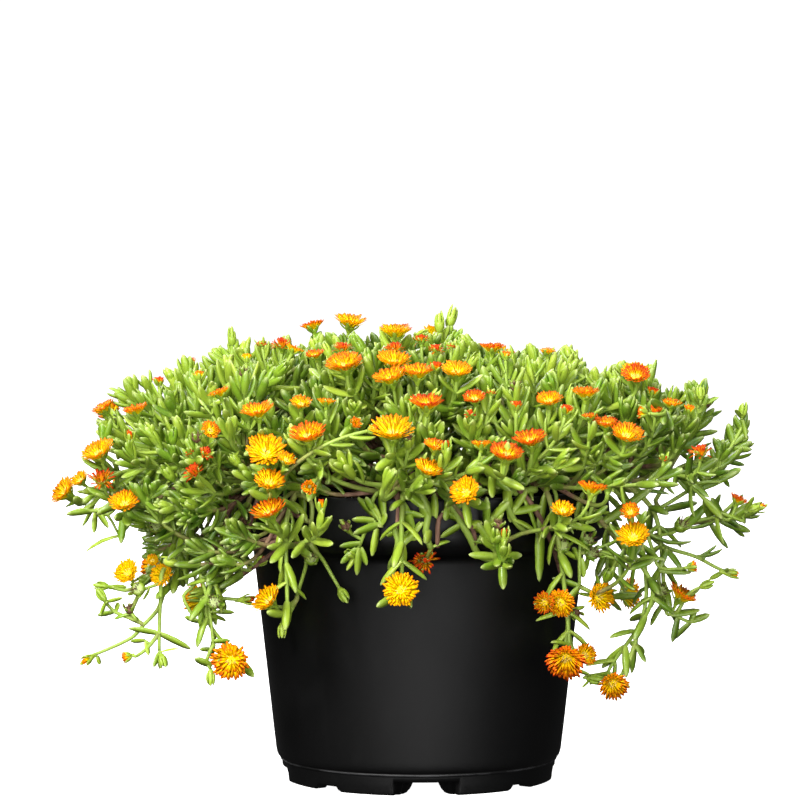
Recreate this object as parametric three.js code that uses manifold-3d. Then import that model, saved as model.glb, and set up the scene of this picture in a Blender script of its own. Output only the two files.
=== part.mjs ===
// A potted ice plant: a cushion of fleshy-leaved shoots with daisy-like flowers, in a round
// nursery pot. Millimetres, +Z up. The origin is the centre of the pot's underside, on the
// surface that the pot stands on. The front is towards -Y.
import * as THREE from "three";
import { mergeVertices } from "three/addons/utils/BufferGeometryUtils.js";
import Module from "manifold-3d";

const wasm = await Module();
wasm.setup();

// Gap between neighbouring pieces
const GAP = 0.35;

// Pot
const POT_HEIGHT = 217;
const COLLAR_RADIUS = 140.5;
const COLLAR_BOTTOM = 175;
const WALL = 2.2;
const WALL_TOP_RADIUS = 122.3;
const WALL_BOTTOM_RADIUS = 105.6;
const LEDGE_HEIGHT = 17;
const FOOT_RADIUS = 99.5;
const FOOT_INNER_RADIUS = 88;
const FLOOR_UNDERSIDE = 10;
const FLOOR_THICKNESS = 2.2;
const CENTRE_FOOT_RADIUS = 18;
const POT_SIDES = 40;
const BASE_TURN = THREE.MathUtils.degToRad(3);
const NOTCH = { outerWidth: 46, innerWidth: 17, height: FLOOR_UNDERSIDE };
const RECESS = { width: 21, height: 4 };
const DRAIN_HOLE = { radius: 7, fromAxis: 76 };

// Soil and the woody crown that the shoots grow from
const SOIL_EDGE_HEIGHT = 196;
const SOIL_CENTRE_HEIGHT = 203;
const CROWN_RADIUS = 25;
const CROWN_TOP = 219;

// Shoots and flowers
const STEM_RADIUS = 1.9;
const TWIG_RADIUS = 1.4;
const LEAF = { length: 27, width: 6.4 };
const PAIR_SPACING = 38;
const LEAF_SLANT = { along: 0.62, across: 0.78 };
const TWIG_LENGTH = 44;
const PETAL_SLOTS = 16;
const PETAL_NOTCH = 0.8;
const FLOWER_DEPTH = 0.38;
const CALYX_RADIUS = 3.6;
const CALYX_LENGTH = 14;

// Where shoots leave the crown, in turn high and low, so that neighbours don't meet
const LEAVING = {
  high: { startRadius: 6, startZ: CROWN_TOP - 7, radius: 26, z: CROWN_TOP + 3 },
  low: { startRadius: 12, startZ: SOIL_CENTRE_HEIGHT + 5, radius: 32, z: SOIL_CENTRE_HEIGHT + 8 },
};

// How high and how far out a shoot runs on its way over the rim, or up into the cushion
const OVER_RIM = { innerRadius: 86, innerZ: POT_HEIGHT + 4, clear: 4, rimZ: POT_HEIGHT + 7 };
const PAST_RIM = { clear: 17, reachShare: 0.9, z: POT_HEIGHT - 14 };
const LOW_BEND = { reachShare: 0.42, riseShare: 0.24, lift: 4, leastZ: POT_HEIGHT + 9 };
const HIGH_BEND = { reachShare: 0.8, riseShare: 0.66, lift: 2, leastZ: POT_HEIGHT + 12 };
const TURN_SHARE = 0.25;

// Where leaves start and the side twig leaves, as shares of a shoot's length
const FIRST_LEAVES = 0.45;
const TWIG_SHARE = { trails: 0.66, rises: 0.5 };

// Each shoot ends at `tip` under its flower. `tilt` leans the flower from upright, in degrees,
// towards `heading` (degrees from +X), or straight outwards where no heading is given. A
// shoot that `trails` goes over the pot's rim and hangs, some past a point `past` on the way.
// Seen from above, the list goes round the crown clockwise, from the right by way of the front.
const SHOOTS = [
  { tip: [230, -61, 208], tilt: 26, bloom: 14 },
  { tip: [188, -64, 138], tilt: 34, bloom: 22, trails: true },
  { tip: [155, -87, 299], tilt: 38, heading: -90, bloom: 19 },
  { tip: [138, -103, 83], tilt: 112, heading: -80, bloom: 21, trails: true, past: [167, -100, 148] },
  { tip: [144, -152, 260], tilt: 32, heading: -70, bloom: 21 },
  { tip: [104, -137, 106], tilt: 118, heading: -100, bloom: 27, trails: true },
  { tip: [59, -193, 249], tilt: 24, heading: -72, bloom: 23 },
  { tip: [26, -140, 304], tilt: 24, heading: -85, bloom: 20 },
  { tip: [-13, -163, 155], tilt: 78, heading: -92, bloom: 23, trails: true },
  { tip: [-19, -187, 263], tilt: 25, heading: -90, bloom: 30 },
  { tip: [-17, -65, 328], tilt: 8, heading: -90, bloom: 22 },
  { tip: [-52, -122, 308], tilt: 25, heading: -110, bloom: 23 },
  { tip: [-77, -182, 261], tilt: 25, heading: -112, bloom: 25 },
  { tip: [-113, -155, 276], tilt: 20, heading: -120, bloom: 22 },
  { tip: [-104, -146, 144], tilt: 51, heading: -144, bloom: 22, trails: true },
  { tip: [-134, -102, 99], tilt: 92, heading: -98, bloom: 26, trails: true, past: [-153, -96, 132] },
  { tip: [-184, -67, 155], tilt: 66, heading: -117, bloom: 17, trails: true },
  { tip: [-229, -84, 243], tilt: 35, heading: -130, bloom: 22 },
  { tip: [-257, -19, 211], tilt: 56, heading: -150, bloom: 22 },
  { tip: [-200, 88, 262], tilt: 42, bloom: 22 },
  { tip: [-166, 118, 118], tilt: 90, heading: 130, bloom: 23, trails: true },
  { tip: [-120, 146, 288], tilt: 30, bloom: 22 },
  { tip: [-56, 196, 262], tilt: 40, bloom: 23 },
  { tip: [0, 176, 128], tilt: 84, heading: 95, bloom: 24, trails: true },
  { tip: [14, 112, 320], tilt: 18, bloom: 21 },
  { tip: [86, 186, 266], tilt: 36, bloom: 25 },
  { tip: [158, 124, 122], tilt: 88, heading: 40, bloom: 23, trails: true },
  { tip: [206, 84, 258], tilt: 44, bloom: 20 },
];

const COLOURS = {
  pot: { color: 0x1c1c1d, roughness: 0.38, metalness: 0 },
  soil: { color: 0x3b2a1f, roughness: 0.95, metalness: 0 },
  wood: { color: 0x7a5c4e, roughness: 0.8, metalness: 0 },
  leaf: { color: 0x7ba33c, roughness: 0.45, metalness: 0 },
  petal: { color: 0xf08a12, roughness: 0.5, metalness: 0 },
};

const UP = new THREE.Vector3(0, 0, 1);
const model = new THREE.Group();

// A repeatable number from 0 to 1 for each whole number
function noise(index) {
  const value = Math.sin(index * 12.9898) * 43758.5453;
  return value - Math.floor(value);
}

function polar(radius, angle, z) {
  return new THREE.Vector3(radius * Math.cos(angle), radius * Math.sin(angle), z);
}

// A closed three.js geometry as a solid that can be joined and cut
function solid(geometry) {
  const bare = geometry.index ? geometry.clone() : geometry;
  bare.deleteAttribute("normal");
  bare.deleteAttribute("uv");
  const merged = mergeVertices(bare, 1e-3);
  const faces = [];
  const index = merged.index.array;
  for (let i = 0; i < index.length; i += 3) {
    const [a, b, c] = [index[i], index[i + 1], index[i + 2]];
    if (a !== b && b !== c && a !== c) faces.push(a, b, c);
  }
  return new wasm.Manifold(new wasm.Mesh({
    numProp: 3,
    vertProperties: new Float32Array(merged.attributes.position.array),
    triVerts: new Uint32Array(faces),
  }));
}

function joined(solids) {
  return solids.reduce((whole, piece) => whole.add(piece));
}

function add(name, body, colour) {
  const mesh = body.getMesh();
  const geometry = new THREE.BufferGeometry();
  geometry.setAttribute("position", new THREE.BufferAttribute(mesh.vertProperties, 3));
  geometry.setIndex(new THREE.BufferAttribute(mesh.triVerts, 1));
  geometry.computeVertexNormals();
  const piece = new THREE.Mesh(geometry, new THREE.MeshStandardMaterial(COLOURS[colour]));
  piece.name = name;
  model.add(piece);
}

// A shape turned about the Z axis, from an outline of [radius, height] points that runs
// against the clock from the axis back to the axis
function turned(outline, sides) {
  const points = outline.map(([radius, height]) => new THREE.Vector2(radius, height));
  return new THREE.LatheGeometry(points, sides).rotateX(Math.PI / 2);
}

function tube(curve, radius, sides, steps) {
  const section = new THREE.Shape();
  for (let i = 0; i < sides; i += 1) {
    const angle = (2 * Math.PI * i) / sides;
    const point = [radius * Math.cos(angle), radius * Math.sin(angle)];
    if (i === 0) section.moveTo(...point);
    else section.lineTo(...point);
  }
  return solid(new THREE.ExtrudeGeometry(section, { steps, extrudePath: curve, curveSegments: 1 }));
}

// The inside of the pot, from its floor up to its rim
function potInside() {
  return [
    [101.4, FLOOR_UNDERSIDE + FLOOR_THICKNESS],
    [WALL_BOTTOM_RADIUS - WALL, LEDGE_HEIGHT + 5],
    [WALL_TOP_RADIUS - WALL, COLLAR_BOTTOM - 1],
    [128.3, COLLAR_BOTTOM + 2.2],
    [134.6, COLLAR_BOTTOM + 6],
    [COLLAR_RADIUS - WALL, COLLAR_BOTTOM + 13],
    [COLLAR_RADIUS - WALL, POT_HEIGHT - 0.8],
  ];
}

function potOutside() {
  return [
    [0, 0],
    [CENTRE_FOOT_RADIUS, 0],
    [CENTRE_FOOT_RADIUS + 2, FLOOR_UNDERSIDE],
    [FOOT_INNER_RADIUS - 1, FLOOR_UNDERSIDE],
    [FOOT_INNER_RADIUS, 0],
    [FOOT_RADIUS, 0],
    [FOOT_RADIUS + 1.5, FLOOR_UNDERSIDE - 1],
    [WALL_BOTTOM_RADIUS - 1.2, LEDGE_HEIGHT - 1.5],
    [WALL_BOTTOM_RADIUS, LEDGE_HEIGHT + 4],
    [WALL_TOP_RADIUS, COLLAR_BOTTOM - 5],
    [129, COLLAR_BOTTOM - 0.5],
    [136.4, COLLAR_BOTTOM + 3.6],
    [COLLAR_RADIUS, COLLAR_BOTTOM + 12],
    [COLLAR_RADIUS, POT_HEIGHT - 1.6],
    [COLLAR_RADIUS - 1.1, POT_HEIGHT],
  ];
}

// A block across the pot's foot at an angle, widening from the foot's inside to its outside
function footCutter(outerWidth, innerWidth, height, angle) {
  const flare = (outerWidth - innerWidth) / (FOOT_RADIUS - FOOT_INNER_RADIUS) / 2;
  const [inner, outer] = [FOOT_INNER_RADIUS - 6, FOOT_RADIUS + 6];
  const farHalf = innerWidth / 2 + flare * (outer - FOOT_INNER_RADIUS);
  const plan = new THREE.Shape([
    new THREE.Vector2(inner, -innerWidth / 2),
    new THREE.Vector2(FOOT_INNER_RADIUS, -innerWidth / 2),
    new THREE.Vector2(outer, -farHalf),
    new THREE.Vector2(outer, farHalf),
    new THREE.Vector2(FOOT_INNER_RADIUS, innerWidth / 2),
    new THREE.Vector2(inner, innerWidth / 2),
  ]);
  const block = new THREE.ExtrudeGeometry(plan, { depth: height + 1, bevelEnabled: false });
  return solid(block.translate(0, 0, -1).rotateZ(angle));
}

function makePot() {
  const outline = [...potOutside(), ...potInside().reverse(), [0, FLOOR_UNDERSIDE + FLOOR_THICKNESS]];
  let pot = solid(turned(outline, POT_SIDES));
  for (let quarter = 0; quarter < 4; quarter += 1) {
    const angle = BASE_TURN + (quarter * Math.PI) / 2;
    const between = angle + Math.PI / 4;
    pot = pot.subtract(footCutter(NOTCH.outerWidth, NOTCH.innerWidth, NOTCH.height, angle));
    pot = pot.subtract(footCutter(RECESS.width, RECESS.width, RECESS.height, between));
    const hole = new THREE.CylinderGeometry(DRAIN_HOLE.radius, DRAIN_HOLE.radius, 20, 16);
    const centre = polar(DRAIN_HOLE.fromAxis, angle, FLOOR_UNDERSIDE);
    pot = pot.subtract(solid(hole.rotateX(Math.PI / 2).translate(centre.x, centre.y, centre.z)));
  }
  return pot;
}

// The space that the pot and a gap round it take up, down to the floor
function potKeepOut() {
  const inside = potInside().map(([radius, height]) => [radius - GAP, height + GAP]);
  const outside = potOutside().map(([radius, height]) => [
    radius ? radius + 2 * GAP : 0,
    height < POT_HEIGHT - 2 ? height : height + GAP,
  ]);
  const outline = [...outside, ...inside.reverse(), [0, FLOOR_UNDERSIDE + FLOOR_THICKNESS + GAP]];
  return solid(turned(outline, POT_SIDES));
}

// The woody crown, half sunk in the soil, grown outwards by `grow`
function makeCrown(grow) {
  const knob = turned([
    [0, SOIL_EDGE_HEIGHT - 30 - grow],
    [10 + grow, SOIL_EDGE_HEIGHT - 22 - grow],
    [CROWN_RADIUS - 4 + grow, SOIL_EDGE_HEIGHT - 6 - grow],
    [CROWN_RADIUS + grow, SOIL_CENTRE_HEIGHT + 2],
    [CROWN_RADIUS - 7 + grow, CROWN_TOP - 5 + grow],
    [8 + grow, CROWN_TOP + grow],
    [0, CROWN_TOP + 1 + grow],
  ], 12);
  return solid(knob);
}

// The soil's top, from the pot's wall in to the axis
function soilTop(grow) {
  return [
    [COLLAR_RADIUS - WALL - GAP, SOIL_EDGE_HEIGHT + grow],
    [84, SOIL_EDGE_HEIGHT + 4 + grow],
    [0, SOIL_CENTRE_HEIGHT + grow],
  ];
}

function makeSoil() {
  const side = potInside().slice(0, -1).map(([radius, height]) => [radius - GAP, height + GAP]);
  const outline = [[0, side[0][1]], ...side, ...soilTop(0)];
  return solid(turned(outline, POT_SIDES)).subtract(makeCrown(GAP));
}

function soilKeepOut() {
  const bottom = SOIL_EDGE_HEIGHT - 20;
  return solid(turned([[0, bottom], [COLLAR_RADIUS, bottom], ...soilTop(GAP)], POT_SIDES));
}

function azimuth(shoot) {
  return Math.atan2(shoot.tip[1], shoot.tip[0]);
}

// The angle towards a shoot's tip, and the one at which it leaves the crown: halfway between
// its own direction and an even spread, so that shoots that end one above another still start
// side by side
function bearings(shoot, index) {
  const first = azimuth(SHOOTS[0]);
  const turn = (first - azimuth(shoot) + 4 * Math.PI) % (2 * Math.PI);
  const even = (index / SHOOTS.length) * 2 * Math.PI;
  return { outward: first - turn, around: first - (turn + even) / 2 };
}

// A point where a rising shoot bends, on its way from `from` to its flower
function bendPoint(bend, reach, angle, from, rise) {
  const height = Math.max(from + rise * bend.riseShare + bend.lift, bend.leastZ);
  return polar(reach * bend.reachShare, angle, height);
}

// The route of a shoot from inside the crown to just under its flower
function shootRoute(shoot, index) {
  const tip = new THREE.Vector3(...shoot.tip);
  const { outward, around } = bearings(shoot, index);
  const between = outward + (around - outward) * TURN_SHARE;
  const leaving = index % 2 === 1 ? LEAVING.high : LEAVING.low;
  const start = polar(leaving.startRadius, around, leaving.startZ);
  const leave = polar(leaving.radius, around, leaving.z);
  const under = tip.clone().addScaledVector(flowerAxis(shoot), -CALYX_LENGTH);
  const reach = Math.hypot(tip.x, tip.y);
  if (shoot.trails) {
    const past = Math.max(COLLAR_RADIUS + PAST_RIM.clear, reach * PAST_RIM.reachShare);
    const onTheWay = shoot.past ? [new THREE.Vector3(...shoot.past)] : [];
    return new THREE.CatmullRomCurve3([
      start,
      leave,
      polar(OVER_RIM.innerRadius, between, OVER_RIM.innerZ),
      polar(COLLAR_RADIUS + OVER_RIM.clear, outward, OVER_RIM.rimZ),
      polar(past, outward, PAST_RIM.z),
      ...onTheWay,
      under,
      tip,
    ]);
  }
  const rise = tip.z - leave.z;
  return new THREE.CatmullRomCurve3([
    start,
    leave,
    bendPoint(LOW_BEND, reach, between, leave.z, rise),
    bendPoint(HIGH_BEND, reach, outward, leave.z, rise),
    under,
    tip,
  ]);
}

// Which way a shoot's flower looks
function flowerAxis(shoot) {
  const heading = shoot.heading === undefined
    ? Math.atan2(shoot.tip[1], shoot.tip[0])
    : THREE.MathUtils.degToRad(shoot.heading);
  const tilt = THREE.MathUtils.degToRad(shoot.tilt);
  return polar(Math.sin(tilt), heading, Math.cos(tilt));
}

// A fleshy leaf with three sides, from its foot at `place` along `direction`
function leaf(place, direction, length, width, grow) {
  const blade = turned([
    [0, -grow],
    [width * 0.34 + grow, length * 0.12],
    [width * 0.5 + grow, length * 0.58],
    [0, length + 2 * grow],
  ], 3);
  const turn = new THREE.Quaternion().setFromUnitVectors(UP, direction.clone().normalize());
  return solid(blade.applyQuaternion(turn).translate(place.x, place.y, place.z));
}

// Two opposite leaves where a stem at `place` runs along `along`, `spin` radians round it
function leafPair(place, along, spin, length, grow) {
  const side = new THREE.Vector3().crossVectors(along, UP);
  if (side.lengthSq() < 0.01) side.set(1, 0, 0);
  side.normalize().applyAxisAngle(along, spin);
  return [1, -1].map((sign) => {
    const direction = along.clone().multiplyScalar(LEAF_SLANT.along);
    direction.addScaledVector(side, sign * LEAF_SLANT.across);
    return leaf(place, direction, length, LEAF.width, grow);
  });
}

function makeStem(route, trails, grow) {
  return tube(route, STEM_RADIUS + grow, 5, trails ? 10 : 7);
}

// The leaves along a shoot and its side twig, which stay joined to the stem where they grow
function makeLeaves(route, index, grow) {
  const total = route.getLength();
  const pieces = [];
  let spin = Math.PI * noise(index + 40);
  for (let along = total * FIRST_LEAVES; along < total - CALYX_LENGTH; along += PAIR_SPACING) {
    const share = along / total;
    const length = LEAF.length * (0.85 + 0.25 * noise(index * 7 + along));
    pieces.push(...leafPair(route.getPointAt(share), route.getTangentAt(share), spin, length, grow));
    spin += Math.PI / 2;
  }
  return pieces;
}

function makeTwig(route, share, index, grow) {
  const foot = route.getPointAt(share);
  const along = route.getTangentAt(share);
  const side = new THREE.Vector3().crossVectors(along, UP).normalize();
  side.multiplyScalar(index % 2 ? 1 : -1);
  const direction = along.clone().multiplyScalar(0.75).addScaledVector(side, 0.7);
  direction.addScaledVector(UP, 0.45).normalize();
  const bend = foot.clone().addScaledVector(direction, TWIG_LENGTH * 0.6);
  const end = foot.clone().addScaledVector(direction, TWIG_LENGTH).addScaledVector(UP, 7);
  const twig = new THREE.CatmullRomCurve3([foot, bend, end]);
  const pieces = [tube(twig, TWIG_RADIUS + grow, 4, 2)];
  for (const [part, spin] of [[0.55, 0.4], [0.97, 1.9]]) {
    const place = twig.getPointAt(part);
    pieces.push(...leafPair(place, twig.getTangentAt(part), spin, LEAF.length * 0.85, grow));
  }
  return pieces;
}

// A flower: a green cup widening into a flat ring of petals with a dished centre
function makeFlower(shoot, index, grow) {
  const radius = shoot.bloom / 2;
  const depth = shoot.bloom * FLOWER_DEPTH;
  const outline = [
    [0, GAP - grow],
    [CALYX_RADIUS + grow, depth * 0.55 - grow],
    [radius + grow, depth + 0.6],
    [0, depth * 0.8 + 1 + grow],
  ];
  const flower = turned(outline, PETAL_SLOTS);
  const position = flower.attributes.position;
  for (let i = 0; i < position.count; i += 1) {
    const [x, y, z] = [position.getX(i), position.getY(i), position.getZ(i)];
    const slot = Math.round((Math.atan2(y, x) / Math.PI) * (PETAL_SLOTS / 2));
    if (Math.hypot(x, y) > radius * PETAL_NOTCH && slot % 2 !== 0) {
      position.setXYZ(i, x * PETAL_NOTCH, y * PETAL_NOTCH, z);
    }
  }
  const turn = new THREE.Quaternion().setFromUnitVectors(UP, flowerAxis(shoot));
  return solid(flower.rotateZ(noise(index + 70)).applyQuaternion(turn).translate(...shoot.tip));
}

// Removes what other pieces need, and keeps the part that is still joined to the stem
function trimmed(stem, greens, keepOut) {
  const whole = stem.add(joined(greens).subtract(keepOut));
  const parts = whole.decompose();
  return parts.reduce((best, part) => (part.volume() > best.volume() ? part : best));
}

function buildPlant() {
  const routes = SHOOTS.map(shootRoute);
  const crownKeepOut = makeCrown(GAP);
  add("soil", makeSoil(), "soil");
  add("root_crown", makeCrown(0), "wood");

  const flowers = SHOOTS.map((shoot, i) => makeFlower(shoot, i, 0));
  const flowerKeepOut = joined(SHOOTS.map((shoot, i) => makeFlower(shoot, i, GAP)));
  const ground = potKeepOut().add(crownKeepOut).add(soilKeepOut());
  const wideStems = routes.map((route, i) => makeStem(route, SHOOTS[i].trails, GAP));

  let taken = ground.add(flowerKeepOut);
  routes.forEach((route, i) => {
    const stem = makeStem(route, SHOOTS[i].trails, 0).subtract(crownKeepOut);
    const others = joined(wideStems.filter((_, j) => j !== i));
    const share = SHOOTS[i].trails ? TWIG_SHARE.trails : TWIG_SHARE.rises;
    const green = (grow) => [
      ...makeLeaves(route, i, grow),
      ...makeTwig(route, share, i, grow),
    ];
    add(`shoot_${number(i)}`, trimmed(stem, green(0), taken.add(others)), "leaf");
    taken = taken.add(joined(green(GAP)));
  });
  flowers.forEach((flower, i) => add(`flower_${number(i)}`, flower, "petal"));
}

function number(index) {
  return String(index + 1).padStart(2, "0");
}

add("pot", makePot(), "pot");
buildPlant();

export default model;
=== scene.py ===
"""Looks of the potted ice plant. Sizes are in millimetres until a piece is built in metres."""
import math

import bpy
import numpy as np
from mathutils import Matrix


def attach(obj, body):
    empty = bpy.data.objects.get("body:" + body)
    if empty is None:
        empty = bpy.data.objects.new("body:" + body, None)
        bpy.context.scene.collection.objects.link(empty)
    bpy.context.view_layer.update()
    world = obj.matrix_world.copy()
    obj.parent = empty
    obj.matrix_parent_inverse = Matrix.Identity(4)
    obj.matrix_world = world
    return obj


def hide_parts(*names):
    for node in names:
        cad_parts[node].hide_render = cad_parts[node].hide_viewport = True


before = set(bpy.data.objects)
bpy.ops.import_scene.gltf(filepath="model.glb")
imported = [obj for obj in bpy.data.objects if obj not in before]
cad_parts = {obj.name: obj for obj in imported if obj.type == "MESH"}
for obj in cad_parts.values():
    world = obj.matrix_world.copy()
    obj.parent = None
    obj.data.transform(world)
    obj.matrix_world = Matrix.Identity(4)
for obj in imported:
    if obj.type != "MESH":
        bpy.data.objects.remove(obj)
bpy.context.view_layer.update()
METRE = 0.001
UP = np.array([0.0, 0.0, 1.0])
rng = np.random.default_rng(20)


# Camera at the photograph's place
CAMERA = np.array([-13.8, -3000.0, 450.0])
PITCH = math.radians(3.26)
LENS = 183.24


def make_camera():
    data = bpy.data.cameras.new("camera")
    data.lens = LENS
    data.sensor_width = 36
    data.clip_end = 100
    camera = bpy.data.objects.new("camera", data)
    camera.location = CAMERA * METRE
    camera.rotation_euler = (math.pi / 2 - PITCH, 0, 0)
    bpy.context.scene.collection.objects.link(camera)
    bpy.context.scene.camera = camera


# Points and directions
def unit(vectors):
    vectors = np.asarray(vectors, float)
    length = np.linalg.norm(vectors, axis=-1, keepdims=True)
    return vectors / np.maximum(length, 1e-9)


def polar(radius, angle, z):
    return np.array([radius * math.cos(angle), radius * math.sin(angle), z])


def leaning(tilt, heading):
    """The direction that leans `tilt` degrees from upright towards `heading` degrees from +X."""
    tilt, heading = math.radians(tilt), math.radians(heading)
    return polar(math.sin(tilt), heading, math.cos(tilt))


def square_to(direction, near=UP):
    """A unit vector at right angles to `direction`, as close to `near` as it can be."""
    side = near - direction * float(near @ direction)
    if np.linalg.norm(side) < 1e-3:
        side = np.array([1.0, 0.0, 0.0]) - direction * direction[0]
    return unit(side)


def turned(vector, axis, angle):
    """`vector` turned round the unit vector `axis`."""
    return (vector * math.cos(angle) + np.cross(axis, vector) * math.sin(angle)
            + axis * float(axis @ vector) * (1 - math.cos(angle)))


def seen(x, z, y):
    """The point at depth `y` on the line of sight through (x, z) on the pot's middle plane."""
    share = (y - CAMERA[1]) / -CAMERA[1]
    return np.array([CAMERA[0] + (x - CAMERA[0]) * share, y, CAMERA[2] + (z - CAMERA[2]) * share])


def catmull(points, step=5.0):
    """A smooth line through the points, centripetal as the frame's routes are."""
    points = [np.asarray(p, float) for p in points]
    kept = [points[0]]
    for point in points[1:]:
        if np.linalg.norm(point - kept[-1]) > 0.5:
            kept.append(point)
    points = kept
    first = 2 * points[0] - points[1]
    last = 2 * points[-1] - points[-2]
    line = [first, *points, last]
    out = []
    for i in range(1, len(line) - 2):
        a, b, c, d = line[i - 1:i + 3]
        ta = 0.0
        tb = ta + max(np.linalg.norm(b - a), 1e-3) ** 0.5
        tc = tb + max(np.linalg.norm(c - b), 1e-3) ** 0.5
        td = tc + max(np.linalg.norm(d - c), 1e-3) ** 0.5
        count = max(2, int(math.ceil(np.linalg.norm(c - b) / step)))
        for t in np.linspace(tb, tc, count, endpoint=False):
            ab = (tb - t) / (tb - ta) * a + (t - ta) / (tb - ta) * b
            bc = (tc - t) / (tc - tb) * b + (t - tb) / (tc - tb) * c
            cd = (td - t) / (td - tc) * c + (t - tc) / (td - tc) * d
            abc = (tc - t) / (tc - ta) * ab + (t - ta) / (tc - ta) * bc
            bcd = (td - t) / (td - tb) * bc + (t - tb) / (td - tb) * cd
            out.append((tc - t) / (tc - tb) * abc + (t - tb) / (tc - tb) * bcd)
    out.append(points[-1])
    return np.array(out)


def bezier(a, b, c, d, count):
    t = np.linspace(0, 1, count)[:, None]
    return ((1 - t) ** 3 * a + 3 * (1 - t) ** 2 * t * b + 3 * (1 - t) * t ** 2 * c + t ** 3 * d)


def lengths(line):
    return np.concatenate([[0], np.cumsum(np.linalg.norm(np.diff(line, axis=0), axis=1))])


def sample(line, along):
    """The point and direction at a distance from the start of a line."""
    reach = lengths(line)
    along = min(max(along, 0), reach[-1])
    point = np.array([np.interp(along, reach, line[:, k]) for k in range(3)])
    ahead = np.array([np.interp(min(along + 1.5, reach[-1]), reach, line[:, k]) for k in range(3)])
    back = np.array([np.interp(max(along - 1.5, 0), reach, line[:, k]) for k in range(3)])
    return point, unit(ahead - back)


# Meshes
class Shape:
    """The points and faces of one piece, gathered part by part.

    Each point carries three values from 0 to 1 for its material: how far along its part it is,
    the part's own tone, and its age, which for some leaves also holds painted shade.
    """

    def __init__(self):
        self.points, self.values = [], []
        self.quads, self.quad_looks = [], []
        self.tris, self.tri_looks = [], []
        self.count = 0

    def add(self, points, values, quads, tris, look):
        points = np.asarray(points, float).reshape(-1, 3)
        self.points.append(points)
        self.values.append(np.broadcast_to(np.asarray(values, float), points.shape))
        for faces, store, looks in ((quads, self.quads, self.quad_looks),
                                    (tris, self.tris, self.tri_looks)):
            if len(faces):
                faces = np.asarray(faces, int)
                store.append(faces + self.count)
                looks.append(np.full(len(faces), look))
        self.count += len(points)

    def build(self, name, materials):
        mesh = bpy.data.meshes.new(name)
        points = np.concatenate(self.points) * METRE
        quads = np.concatenate(self.quads) if self.quads else np.zeros((0, 4), int)
        tris = np.concatenate(self.tris) if self.tris else np.zeros((0, 3), int)
        looks = np.concatenate([*self.quad_looks, *self.tri_looks])
        mesh.vertices.add(len(points))
        mesh.vertices.foreach_set("co", points.ravel())
        mesh.loops.add(quads.size + tris.size)
        mesh.loops.foreach_set("vertex_index", np.concatenate([quads.ravel(), tris.ravel()]))
        mesh.polygons.add(len(quads) + len(tris))
        starts = np.concatenate([np.arange(len(quads)) * 4, quads.size + np.arange(len(tris)) * 3])
        mesh.polygons.foreach_set("loop_start", starts)
        mesh.polygons.foreach_set("material_index", looks)
        mesh.update(calc_edges=True)
        mesh.validate()
        mesh.shade_smooth()
        values = np.concatenate(self.values)
        colour = mesh.attributes.new("growth", "FLOAT_COLOR", "POINT")
        colour.data.foreach_set("color", np.c_[values, np.ones(len(values))].ravel())
        for material in materials:
            mesh.materials.append(material)
        piece = bpy.data.objects.new(name, mesh)
        bpy.context.scene.collection.objects.link(piece)
        return piece


def ring_quads(rings, sides):
    """Faces between rings of `sides` points, each ring closed."""
    ring, side = np.meshgrid(np.arange(rings - 1), np.arange(sides), indexing="ij")
    ring, side = ring.ravel(), side.ravel()
    after = (side + 1) % sides
    return np.stack([ring * sides + side, ring * sides + after,
                     (ring + 1) * sides + after, (ring + 1) * sides + side], 1)


def end_faces(rings, sides):
    """Faces that close both ends of stacked rings, at the two points that come after them."""
    first, last = rings * sides, (rings - 1) * sides
    faces = []
    for s in range(sides):
        after = (s + 1) % sides
        faces += [[first, after, s], [first + 1, last + s, last + after]]
    return faces


def pointed_faces(rings, sides, count):
    """Faces of `count` bodies of stacked rings, each of which ends in the point after its rings."""
    last = (rings - 1) * sides
    tips = np.array([[rings * sides, last + s, last + (s + 1) % sides] for s in range(sides)])
    starts = (np.arange(count) * (rings * sides + 1))[:, None, None]
    return (ring_quads(rings, sides)[None] + starts).reshape(-1, 4), (tips[None] + starts).reshape(-1, 3)


def frames(line):
    """Two side vectors that turn as little as they can along a line."""
    ahead = unit(np.gradient(line, axis=0))
    side = np.zeros_like(line)
    side[0] = square_to(ahead[0])
    for i in range(1, len(line)):
        side[i] = unit(side[i - 1] - ahead[i] * float(side[i - 1] @ ahead[i]))
    return side, np.cross(ahead, side)


def add_tube(shape, line, radii, values, look, sides=7):
    """A round stem along a line. `values` holds its tone and its age at both ends."""
    count = len(line)
    side, other = frames(line)
    angle = np.arange(sides) / sides * 2 * math.pi
    radii = np.broadcast_to(radii, count)
    out = np.cos(angle)[None, :, None] * side[:, None] + np.sin(angle)[None, :, None] * other[:, None]
    points = line[:, None] + radii[:, None, None] * out
    tone, young, old = values
    share = lengths(line) / max(lengths(line)[-1], 1e-6)
    data = np.stack([share, np.full(count, tone), young + (old - young) * share], 1)
    points = np.concatenate([points.reshape(-1, 3), line[[0, -1]]])
    data = np.concatenate([np.repeat(data, sides, 0), data[[0, -1]]])
    shape.add(points, data, ring_quads(count, sides), end_faces(count, sides), look)


# One fleshy leaf: rings of a rounded three-sided section along a line that bends
LEAF_AT = np.array([0.0, 0.18, 0.48, 0.79, 0.95])
LEAF_WIDE = np.array([0.66, 0.88, 1.0, 0.82, 0.38])
LEAF_DEEP = np.array([0.64, 0.84, 0.96, 0.78, 0.36])
LEAF_PLUMP = 0.84
LEAF_SECTION = np.array([[-1.0, 0.10], [0.0, 0.30], [1.0, 0.10], [0.72, -0.52], [0.0, -0.92],
                         [-0.72, -0.52]])


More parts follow.
